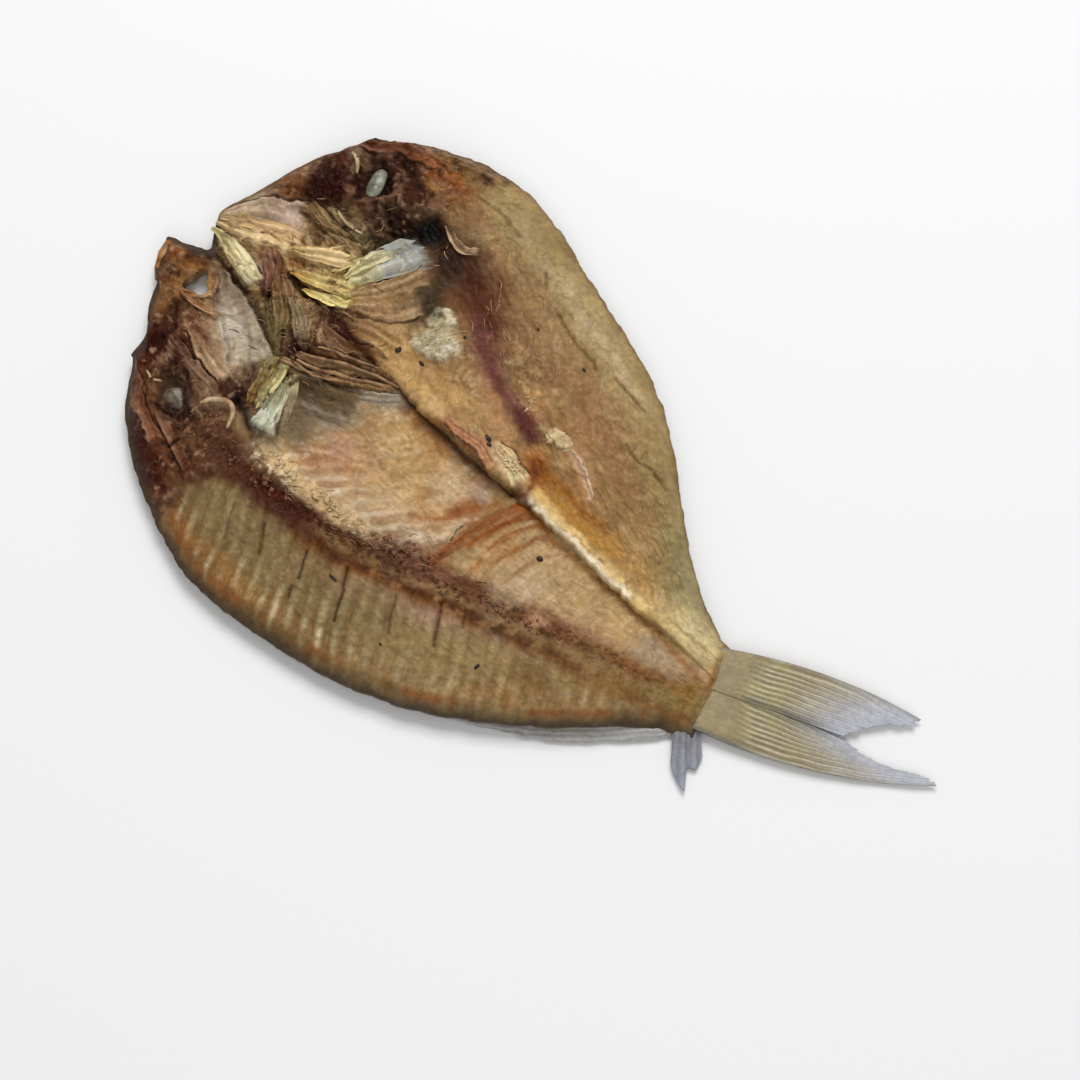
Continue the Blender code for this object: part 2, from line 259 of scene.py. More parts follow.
def shapeFlesh(f):
    x, y = f.x, f.y
    tail = soft((x - 40) / 45)
    head = 1 - soft((x + 92) / 16)
    bone = backbone(x)
    f.lift(fish["flesh"] + f.spine * (1 - head) * soft((-y - bone) / 7) * 3.0)
    bowl = soft((x + 68) / 14) * (1 - soft((x + 12) / 8)) * mound(0, y, (0, -21), (1, 24))
    f.lift(-3.0 * bowl * f.spine)
    f.lift(2.6 * f.plain * mound(0, y, (0, 3), (1, 7)) * soft((x + 58) / 12) * (1 - soft((x - 60) / 16)))
    f.lift(f.plain * (5.6 * mound(x, y, (-28, 44), (70, 22), -15) + 1.0))
    f.lift(-1.6 * f.plain * mound(x, y, (14, 8), (34, 5)))
    f.lift(head * 2.2)
    f.height = fish["flesh"] + (f.height - fish["flesh"]) * (1 - 0.55 * tail)

    # broad dents of drying everywhere, and a fine fibre
    f.lift(0.55 * rough(x, y, 13, 21) + 0.22 * rough(x, y, 3.4, 22))

    # loin strip: leaning muscle seams and a few cracks
    loin = soft(f.out / 4) * f.spine * f.body
    seam = loinSeam(f)
    f.lift(-loin * 0.4 * seam ** 4 * soft((x + 84) / 10))
    f.lift(loin * 0.22 * streaks(f.fx, f.fy, -62, 1.4, 6, 23))
    for crack in loinCracks:
        f.lift(-0.7 * f.stroke(crack[:-1], 0.5, 0.25) * crack[-1])

    # backbone: a rough torn ridge
    ridge = np.exp(-((f.out + 1) / 6.0) ** 2) * f.spine * soft((x + 94) / 8)
    f.lift(ridge * (1.2 + 1.5 * np.abs(rough(x, y, 3.0, 24)) + 0.7 * rough(x, y, 1.5, 25)) * (1 - 0.6 * tail))
    rubble = f.spine * np.exp(-((f.out + 6) / 4.0) ** 2) * soft((x + 80) / 6) * (1 - soft((x + 34) / 14))
    f.lift(rubble * (1.0 + 1.1 * rough(x, y, 2.4, 35)))

    # belly: ribs under the lining, then the ray of the vent and the bone spines behind it
    ribs = wave(ribPhase(f))
    f.lift(f.spine * f.body * bellyOf(f) * 0.9 * ribs * mound(0, -y, (0, 0.76 * bone), (1, 9)))
    ray = f.stroke(ventRay, 3.2, 0.5) * f.spine
    f.lift(1.5 * ray + 0.45 * ray * streaks(x, y, 76, 0.9, 9, 26))
    f.lift(f.spine * tailMuscleOf(f) * 0.42 * (spineLines(f) - 0.4))

    # plain half: fibres slanting to the tail, long cracks near the outer edge, a lip along the fold
    mid = f.plain * f.body * soft((plainEdge(x) - y - 9) / 8)
    f.lift(mid * 0.3 * streaks(f.fx, f.fy, -36, 1.4, 5, 27) * (1 - soft((x - 25) / 20)))
    f.lift(f.plain * 0.25 * streaks(f.fx, f.fy, -24, 1.4, 9, 28) * soft((x - 15) / 20))
    for crack in plainCracks:
        f.lift(-0.6 * f.stroke(crack, 0.5, 0.4) * f.plain)
    lip = f.plain * np.exp(-((y - 1.3) / 1.5) ** 2) * soft((x + 60) / 6) * (1 - soft((x - 50) / 16))
    f.lift(lip * (0.75 + 0.5 * rough(x, y, 4, 29)))

    # shallow wrinkles of drying, sharper than the dents
    f.lift(f.body * 0.5 * wrinkleOf(f))

    # a heap of crumbled fat
    heap = fatHeap(f)
    f.lift(heap * (0.8 + 0.7 * fatFolds(f) + 0.9 * rough(x, y, 3.2, 144) + 0.3 * rough(x, y, 1.3, 141)))

    # head: crumpled, torn and hollowed
    crumple = 1 - np.abs(rough(x, y, 7.5, 31))
    calm = np.zeros_like(x)
    for _, index, _, _, mask, _, _ in f.leaves():
        calm[index] = np.maximum(calm[index], mask)
    f.lift(f.head * (1.7 * crumple ** 3 - 0.8
                     + (1 - 0.75 * calm) * (0.9 * rough(x, y, 3.2, 32) + 0.35 * rough(x, y, 1.2, 33))))
    f.lift(f.head * f.throat * 0.5 * f.fan)
    for at in fish["eyes"]:
        away = np.hypot(f.wx - at[0], f.wy - at[1])
        f.lift(1.6 * np.exp(-((away - 9.5) / 2.2) ** 2) - 3.0 * np.exp(-(away / 6.4) ** 4))
    for px, py, long, wide, turn, deep in headHollows:
        f.lift(deep * f.blob(px, py, long, wide, turn))
    for points, width, high in headFolds:
        f.lift(high * f.stroke(points, width, 0.7))
    for number, index, along, across, mask, _, hair in f.leaves():
        strands, high, up = tissue[number][3], tissue[number][6], tissue[number][7]
        fold, _ = foldsOf(number, strands, along, across)
        f.height[index] += mask * (high * (0.5 + 0.45 * up * np.clip(across, -1, 1)) + 0.42 * fold - 0.2
                                   + 0.07 * hair)
    for points, width, _ in shadedCreases:
        f.lift(-1.1 * f.stroke(points, width, 0.7))


loinCracks = [
    [(-39, -59), (-34, -67), 1.0], [(-26, -54), (-21, -61), (-17, -69), 1.2], [(-9, -50), (-2, -60), 0.7],
    [(3, -42), (11, -53), 0.8], [(11, -40), (13, -43), 0.7], [(-55, -62), (-49, -70), 0.7],
    [(-66, -64), (-60, -74), 0.5], [(-34, -70), (-32, -74), 0.8],
]
plainCracks = [
    [(-38, 51), (-28, 48.5), (-19, 47.5), (-16, 46)], [(8, 35), (14, 34), (20, 35), (27, 33)],
    [(-86, 63.5), (-76, 65), (-67, 63.5)], [(-60, 46), (-50, 42.5)], [(-51, 59), (-47, 55)],
    [(-10, 48.5), (4, 47)],
]
ventRay = [(-0.5, -1), (-4.5, -8), (-7, -16), (-8.5, -24), (-9.5, -31)]
ventArcs = [
    ([(4, -1), (0, -6), (-3.5, -14), (-5, -23)], 0.9, 0.9),
    ([(8, -1.5), (4, -5), (1, -12), (0, -19)], 0.8, 0.75),
    ([(13, -2.5), (9, -6), (6, -13), (5, -20)], 0.8, 0.6),
    ([(19, -3.5), (14.5, -8), (12, -15), (11, -22)], 0.8, 0.4),
    ([(-9, -6), (-13, -13), (-19, -22), (-26, -27)], 1.3, 0.6), ([(-13, -11), (-17, -17)], 1.8, 0.7),
]
# hollows and rises of the head: place, half sizes, turn, height
headHollows = [
    (-91, 45, 6.5, 4.5, -20, -4.6), (-96, 38, 8, 5, 0, -2.2), (-76, -22, 10, 11, 30, -2.6),
    (-112, -24, 12, 7, -30, -2.0), (-118, -43, 5, 4, 0, -2.4), (-99, -56, 4.5, 4, 0, -2.6),
    (-113, -49, 3, 2, 0, -1.4), (-86, -1, 9, 3.5, -14, -3.0), (-86, -12, 5, 4, 0, -2.8),
    (-127, 31, 7, 6, 0, -1.6), (-104, 33, 7, 4, 0, -1.8), (-90, -37, 5, 4, 0, -2.0),
    (-90, -51, 9, 8, 20, 2.8), (-100, 60, 14, 4, -6, 2.0), (-112, -58, 10, 3, -52, 1.4),
    (-74, 24, 6, 8, 0, -2.0), (-130.5, -20.5, 6, 5, 0, -2.0), (-106, 4, 7, 3, 10, -1.5),
    (-137, -8.5, 6, 1.6, -20, -2.4),
]
headFolds = [
    ([(-150, -15), (-143, -12), (-135, -11)], 1.4, 1.8),
    ([(-133, -26), (-124, -25.5), (-118, -23)], 1.2, 1.6),
    ([(-97, -52), (-95, -46), (-90, -43.5), (-85, -48)], 1.1, 2.2),
    ([(-127, -30), (-119, -36), (-108, -38.5), (-98, -40)], 1.3, 1.3),
    ([(-117, -64), (-100, -69), (-86, -71)], 1.6, 1.5),
    ([(-132, 50), (-120, 58), (-105, 62), (-90, 60)], 1.6, 1.6), ([(-124, 45), (-121, 42)], 1.2, 1.6),
    ([(-86, 49), (-80, 46.5), (-75, 46), (-72, 49)], 1.0, 1.8),
    ([(-138, -3), (-128, 1), (-118, 7), (-108, 12)], 1.3, 1.3),
    ([(-127, 20), (-110, 22), (-96, 19)], 1.8, 1.0), ([(-114, 28), (-104, 27)], 0.8, 0.9),
    ([(-110, -3), (-103, -5), (-96, -10)], 1.4, 1.2),
]

# leaves, folds and strands of the throat and head: line, width at both ends, strands, colours at both ends,
# height, which side stands up, and how far a loose sheet of it is raised (0 for none)
tissue = [
    ([(-143, 1), (-134, 11), (-121, 18)], 5, 12, 2, "bda88c", "bfa8a0", 0.9, 1, 0),
    ([(-142, 0), (-130, 7), (-116, 14)], 3, 8, 2, "bd9f74", "d2b48c", 0.9, -1, 0.7),
    ([(-142, -2), (-130, 2), (-116, 8)], 2.4, 4.6, 2, "cbb388", "e2ca9e", 1.4, 1, 1.1),
    ([(-142, -4), (-129, -4.6), (-115.5, -8)], 2.6, 7.6, 2, "c8ba88", "ded8b4", 1.2, 1, 0.9),
    ([(-133, -6.6), (-125, -8), (-116.5, -9.8)], 1.2, 1.8, 1, "a28a58", "eadfc6", 1.5, -1, 0),
    ([(-117, 7), (-107, 13), (-98, 20)], 3.4, 6.4, 3, "c5aa74", "dcc698", 1.6, 1, 1.3),
    ([(-109, 10), (-106.5, 16), (-105, 22)], 3.0, 1.8, 2, "dcc692", "c9ae7a", 1.2, 1, 1.2),
    ([(-102, 12), (-99, 17), (-96, 23)], 3.0, 3.0, 2, "d2bd86", "b9aa76", 1.2, -1, 1.2),
    ([(-112, 3), (-102, 7), (-91, 13)], 4.0, 7.0, 3, "b0904e", "dccb90", 1.8, -1, 1.2),
    ([(-105, 1.6), (-97, 3.6), (-89, 8)], 2.6, 5.0, 2, "c4ab68", "e6dc9a", 1.6, -1, 1.5),
    ([(-95, 12), (-92, 23), (-86, 39)], 4.0, 15.0, 2, "c4c092", "a3a9b2", 1.6, 1, 1.5),
    ([(-97, 13), (-95, 21), (-92, 31)], 2.4, 5.0, 2, "dcd49c", "c6c4a4", 1.4, 1, 1.6),
    ([(-91, 9), (-85, 20), (-79, 33)], 4.0, 6.0, 2, "b89a6e", "a88a68", 1.2, 1, 0),
    ([(-88, 7), (-79, 15), (-73, 25)], 4.0, 7.0, 2, "a07f58", "ac9070", 0.9, -1, 0),
    ([(-86, 3), (-77, 6.5), (-66, 8)], 6.0, 8.0, 2, "8a6340", "ae8b54", 0.6, -1, 0),
    ([(-125, 24), (-112, 22), (-99, 21)], 6.0, 6.0, 4, "866c48", "a08a60", 0.8, 1, 0),
    ([(-120, 28), (-113, 27.4), (-107, 28)], 1.4, 1.2, 1, "b8a080", "9a8462", 0.8, 1, 0),
    ([(-122, 3), (-115, -1.5), (-110, -8)], 6.0, 6.0, 3, "97705a", "643a2a", 1.4, 1, 0.8),
    ([(-113, 0), (-105, -6), (-98, -14)], 7.0, 7.0, 4, "876646", "766036", 1.3, -1, 0.7),
    ([(-109, -8), (-102, -14), (-95, -22)], 7.0, 6.0, 4, "66542f", "827248", 1.0, 1, 0),
    ([(-104, -3), (-97, -6), (-92, -11)], 5.0, 4.0, 3, "94846a", "88755a", 1.0, -1, 0.7),
    ([(-128, -12), (-114, -20), (-97, -29)], 6.0, 17.0, 2, "96806e", "bdb2a4", 0.9, 1, 0),
    ([(-120, -33), (-110, -36.5), (-99, -37)], 4.0, 5.0, 2, "a17d62", "bfa488", 1.2, -1, 0),
    ([(-132, -26), (-124, -26), (-117, -23)], 2.6, 2.4, 1, "8f5f36", "bb9270", 1.8, -1, 0.8),
    ([(-127.5, -14.5), (-124.5, -20), (-127.5, -26)], 2.8, 2.8, 1, "a9835a", "c49c72", 1.2, 1, 0),
    ([(-94, -20), (-91, -29), (-88, -38)], 5.0, 4.2, 3, "9c9060", "84622a", 1.4, 1, 1.2),
    ([(-90, -19), (-87, -28), (-85, -37)], 4.0, 4.0, 3, "b0a874", "cac18e", 1.8, 1, 1.4),
    ([(-86, -22), (-82, -32), (-79, -41.5)], 5.0, 8.4, 2, "9fa07e", "cbd3c8", 1.6, 1, 1.5),
    ([(-86, -19), (-80, -27), (-75.5, -36)], 3.0, 3.4, 2, "c6b894", "8b7a62", 1.4, -1, 1.0),
    ([(-93, -20), (-76, -12), (-58, -1.5)], 3.4, 2.6, 1, "b19472", "9a7850", 1.7, -1, 0),
    ([(-91, -15), (-76, -7.5), (-60, -0.5)], 2.6, 2.4, 1, "ad8e6a", "b8966e", 1.7, 1, 0),
    ([(-88, -10.5), (-78, -4.5), (-66, 0.4)], 2.6, 2.2, 1, "8a6548", "9d7a56", 1.4, 1, 0),
    ([(-92, -3), (-80, -1), (-68, 3)], 3.4, 3.4, 2, "744c34", "a37c52", 1.2, 1, 0),
    ([(-127, -52), (-114, -62), (-98, -68)], 4.0, 4.0, 1, "643824", "8c6048", 1.2, 1, 0),
    ([(-106, -60), (-96, -64), (-84, -66)], 3.4, 3.4, 1, "8f6850", "6a3f28", 1.0, -1, 0),
    ([(-124, -38), (-112, -41), (-98, -42)], 3.2, 3.0, 2, "744e40", "a17f6a", 1.6, 1, 0),
    ([(-129, 49), (-116, 58), (-101, 63)], 4.0, 4.0, 1, "704030", "905c3c", 1.2, -1, 0),
    ([(-87, 49), (-81, 46.5), (-76, 46), (-71.5, 49)], 1.9, 1.8, 1, "ac9070", "c9ae90", 1.6, 1, 0.5),
    ([(-66, -11), (-60, -7), (-55, -3)], 3.6, 3.0, 2, "938a7e", "aaa396", 0.9, 1, 0),
    ([(-86, -21), (-74, -20), (-62, -16)], 9.0, 13.0, 1, "4a3a28", "6d5a42", 0.12, 1, 0),
    ([(-12.5, -16.5), (-13.2, -21), (-10.4, -27)], 1.9, 2.2, 1, "dccab0", "c2a88e", 1.3, 1, 0),
    ([(-26, -33), (-19, -28.5), (-12, -30.5)], 1.6, 1.6, 1, "cbb8a0", "bfa58c", 1.2, 1, 0),
    ([(-22.5, -41), (-20.5, -36), (-19, -33)], 1.2, 1.2, 1, "b09882", "8f7058", 0.9, 1, 0),
    ([(-4, 21.5), (5, 19.6), (13, 15.4)], 1.3, 1.1, 1, "dabca6", "e3c8b4", 0.7, 1, 0),
    ([(-23, 8), (-15, 6), (-7, 4)], 5.0, 6.4, 4, "c9ae84", "e6d6ae", 0.9, 1, 0),
    ([(-40, 1.6), (-28, 3), (-17, 1.4)], 3.4, 3.0, 2, "b98060", "bd8a68", 0.7, -1, 0),
]
# crease lines and gaps of the head, with painted shade in them: line, width, colour
shadedCreases = [
    ([(-141, -7.4), (-128, -10), (-115, -12)], 1.1, "2a1409"),
    ([(-111, 1.6), (-103, 0.8), (-97, 1.6)], 1.1, "260e05"), ([(-99, 8.6), (-93.5, 10.6)], 0.8, "52340e"),
    ([(-92.6, -22), (-90, -30), (-87.6, -37)], 0.45, "2a1c0c"),
    ([(-87.6, -21), (-85.6, -30), (-84.4, -37)], 0.45, "2c2010"),
    ([(-91, -13), (-77, -6.2), (-64, -1.8)], 0.9, "36180f"),
    ([(-90, -16.8), (-76, -10.2), (-62, -2.4)], 0.7, "3a1c12"),
    ([(-86, -8), (-78, -3), (-69, -0.6)], 0.8, "3a1a12"),
    ([(-88, 1.5), (-80, 1.0), (-70, 0.6)], 1.4, "3c1a14"),
    ([(-117, 1), (-114, -4), (-109, -9.6)], 0.8, "3a1a10"),
    ([(-151, -15), (-143, -11.6), (-134, -11)], 1.2, "35180a"),
    ([(-129, -30), (-124, -36), (-125, -44)], 1.6, "2e100a"),
    ([(-93, -39), (-88, -41), (-82, -43.4)], 1.6, "160c08"), ([(-95.5, -62), (-95, -66)], 0.7, "1e0d06"),
    ([(-98, -53), (-101, -57), (-106, -59)], 2.2, "1a0806"),
    ([(-118, 54), (-113, 56), (-108, 54)], 1.4, "28120c"), ([(-122, 50), (-119, 52)], 2.0, "140a08"),
    ([(-110, 37), (-115, 36), (-120, 40)], 1.2, "2a1210"),
    ([(-104, 40), (-97, 36), (-92, 39)], 2.4, "1a0c08"), ([(-97, 24), (-93, 31), (-91, 38)], 1.4, "3c3020"),
    ([(-124, 19.5), (-115, 20), (-104, 24)], 0.9, "4e3a22"),
    ([(-94, 33), (-99, 30), (-104, 31)], 1.6, "2c2014"),
]


def foldsOf(number, strands, along, across, drift=0.0):
    # height of a leaf's folds, at uneven distances, and which way their sides lean
    share = np.clip(0.5 * (across + 1), 0, 1) ** (1.0 + 0.5 * math.sin(2.3 * number))
    place = (strands * share + 0.12 * np.sin(5 * along + number) + drift) % 1
    return np.abs(2 * place - 1), np.where(place < 0.5, 1.0, -1.0)


def foldShade(fold, lean, hair, rise):
    # folds are darker in their grooves as painted shade, and lighter on one side and towards the raised edge
    # as painted light
    return 0.07 * lean + 0.09 * hair + rise - 0.24 * (1 - fold) ** 6


def wrinkleOf(f):
    return (1 - np.abs(rough(f.fx * 0.6 + f.fy * 0.3, f.fy, 4.2, 134))) ** 4


def fatHeap(f):
    ragged = 0.35 * rough(f.x, f.y, 3.5, 140)
    return f.plain * soft(2.4 * np.maximum(f.blob(-59.5, 18, 7.4, 5.4, 20), f.blob(-64, 25, 5.0, 4.6, 30))
                          - 0.7 + ragged)


def fatFolds(f):
    return 1 - np.clip(2.2 * np.abs(rough(f.fx, f.fy, 4.0, 18, 2)), 0, 1)


def loinWave(f):
    return (f.x - 0.5 * f.out + 0.8 * rough(f.x, f.y, 16, 41, 2)) / 5.0


def loinSeam(f):
    return wave(loinWave(f))


seamStrength = np.random.default_rng(8).random(128)


def ribPhase(f):
    return (f.x - 0.75 * f.y + 1.6 * rough(f.x, f.y, 8, 42, 2)) / 6.0


def spineLines(f):
    bend = 6.0 * (1 - np.exp(f.y / 9))
    return wave((f.x + bend + 0.05 * f.y + 1.0 * rough(f.x, f.y, 14, 43, 2)) / 5.0) ** 2


def bellyOf(f):
    return soft((f.wx + 72) / 8) * (1 - soft((f.wx + 11) / 4)) * soft((-f.out - 3) / 5) * f.spine


def tailMuscleOf(f):
    within = soft((f.wx + 0.16 * f.wy + 9) / 5) * soft((-f.out - 3) / 6)
    return within * f.spine * (1 - 0.5 * soft((f.x - 30) / 20))


# soft spots of colour on the flesh: place in mm, half sizes, turn, colour, strength
fleshSpots = [
    # plain half
    (-30, 57, 55, 7, -14, "a39066", 0.8), (-45, 62, 30, 3, -10, "b39f78", 0.6),
    (10, 44, 26, 5, -32, "978258", 0.6), (-22, 54, 26, 2.6, -12, "b7a484", 0.6),
    (-84, 70, 10, 4, 4, "9c8a5e", 0.7), (-20, 38, 34, 8, -20, "937452", 0.65),
    (-60, 66, 17, 5, -6, "8a774e", 0.55), (-50, -82, 16, 4.5, -12, "7c5c36", 0.6),
    (-50, 50, 16, 5, -20, "8d7148", 0.5), (14, 24, 26, 8, -18, "8f6d48", 0.55),
    (-5, 33, 12, 4, -20, "9a7350", 0.45), (-66, 40, 15, 10, -22, "5a3421", 0.85),
    (-78, 44, 10, 7, -10, "3d200f", 0.85), (-52, 35, 12, 7, -35, "6a402e", 0.7),
    (-35, 22, 15, 3.4, -16, "71443f", 0.9), (-47, 27, 7, 3.0, -40, "7b4d48", 0.8),
    (-20, 17.5, 4.5, 2.4, -20, "5c2e27", 0.8), (-60, 8, 14, 5, 0, "b08c58", 0.7),
    (-40, 9, 12, 4, -8, "b8935f", 0.7), (-30, 14, 13, 3, -25, "b78a63", 0.55),
    (-24, 3, 9, 3, 0, "b9805f", 0.75), (-36, 2.5, 9, 2, 0, "bd8c68", 0.6), (-14, 5, 6, 4, 0, "cdb58c", 0.75),
    (-75, 10, 8, 6, 0, "a98a5c", 0.6), (-60, 3, 8, 2.4, 6, "bf9b62", 0.7), (-46, 3, 5, 2, 0, "d0b078", 0.7),
    (8, 9, 22, 4.5, -4, "a8743a", 0.85), (-5, 10, 6, 3, -20, "884a15", 0.9),
    (-10, 13, 5, 3.4, -30, "a36a34", 0.7), (8, 4, 13, 1.6, -6, "eac784", 0.85),
    (34, 7, 22, 3.5, -3, "b08a4e", 0.7), (60, 6, 12, 4.5, 4, "bfa97c", 0.85),
    (48, 20, 20, 8, -32, "8d8560", 0.75), (24, 31, 12, 3, -22, "a08a60", 0.5),
    (58, 13, 14, 3.4, -28, "9a9274", 0.6), (5, 18, 11, 2.6, -16, "a97f55", 0.6),
    (30, 16, 12, 5, -12, "a58a5c", 0.5), (70, 6, 6, 4, 0, "cdbf98", 0.7), (-4, 24, 7, 5, 0, "a4764e", 0.4),
    (22, 44, 6, 2.4, -30, "8a6f35", 0.6), (-22, 24, 5, 3, -60, "b98f66", 0.6),
    # spine half, body
    (-40, -14, 25, 10, -8, "b79a6b", 0.75), (-50, -28, 12, 8, 20, "b08a62", 0.6),
    (-30, -27, 10, 5, 30, "b99a62", 0.6), (-16, -8, 6, 4, -30, "a8968c", 0.75),
    (-16, -16, 4, 5, 60, "9a5a2e", 0.7), (-26, -18, 6, 4, 60, "a9784a", 0.5),
    (-60, -26, 5, 6, 60, "a9806c", 0.6), (-66, -12, 5, 8, 60, "7f6c50", 0.6),
    (-57, -17, 6, 9, 40, "9a7a5c", 0.5), (-58, -34, 9, 4, 30, "9c6a4e", 0.5),
    (-33, -9, 10, 4, -10, "a47a4a", 0.5), (-24, -13, 6, 4, -30, "d2c0a4", 0.5),
    (-45, -4, 16, 2.4, -2, "7b4a1f", 0.75), (-18, -4, 10, 2.2, 0, "74522f", 0.6),
    (-36, -33, 12, 3.6, 42, "c8b193", 0.7), (-52, -37, 12, 3.2, 30, "c0a184", 0.5),
    (-22, -34, 8, 3, 25, "bda78f", 0.65), (-13, -20, 2.2, 4.5, 0, "d3bda2", 0.7),
    (-20, -29, 8, 2, 20, "c4ac92", 0.6), (-66, -44.5, 10, 2.8, -6, "d6bd95", 0.85),
    (-48, -44, 10, 2.6, 8, "c9ae86", 0.75), (-37, -42.5, 7, 2.2, 12, "cdb68e", 0.7),
    (-16, -36, 10, 4, 14, "6b4a3c", 0.8), (-22, -43, 10, 3, 18, "5d3c2a", 0.75),
    (-6, -36, 7, 3.4, 16, "7a5544", 0.65), (30, -23, 10, 3.2, 18, "80503a", 0.7),
    (14, -31, 10, 3.0, 18, "6e4a34", 0.65), (27, -25, 3, 2, 0, "d0a88a", 0.6),
    (20, -12, 14, 9, 0, "b89f7c", 0.6), (44, -9, 20, 6, 4, "b3966a", 0.65),
    (62, -7, 9, 3.6, 16, "a3917f", 0.75), (40, -16, 12, 3, 14, "a28468", 0.5),
    (60, -14, 12, 2.6, 18, "7c4f26", 0.8), (78, -9, 7, 4, 10, "8a6a30", 0.8),
    (15, -22, 6, 8, 0, "b3a18a", 0.5), (24, -10, 9, 5, 0, "b49a70", 0.5), (3, -17, 4, 8, -10, "b07c44", 0.55),
    (38, -40, 9, 4, 10, "7a5a2c", 0.6), (20, -45, 10, 4, 25, "8f7d50", 0.5),
    (10, -58, 16, 5, 22, "8e7a4e", 0.5), (55, -28, 8, 3, 34, "85663a", 0.6),
    (34, -50, 10, 3.4, 30, "86602f", 0.55), (60, -22, 8, 3, 24, "8c7040", 0.5),
    (-70, -70, 12, 8, -6, "7d6a48", 0.5), (-45, -68, 16, 6, 4, "847250", 0.5),
    (4, -48, 8, 3, 30, "9a7a72", 0.4), (-30, -60, 12, 3, 10, "86694f", 0.4),
    (-72, -82, 10, 3, -12, "8a5624", 0.6), (-50, -80, 14, 3, 0, "a0783e", 0.4),
    (72, -15, 7, 3, 8, "8b7a4c", 0.7), (81, -15, 5, 3, -10, "7d6634", 0.7),
]
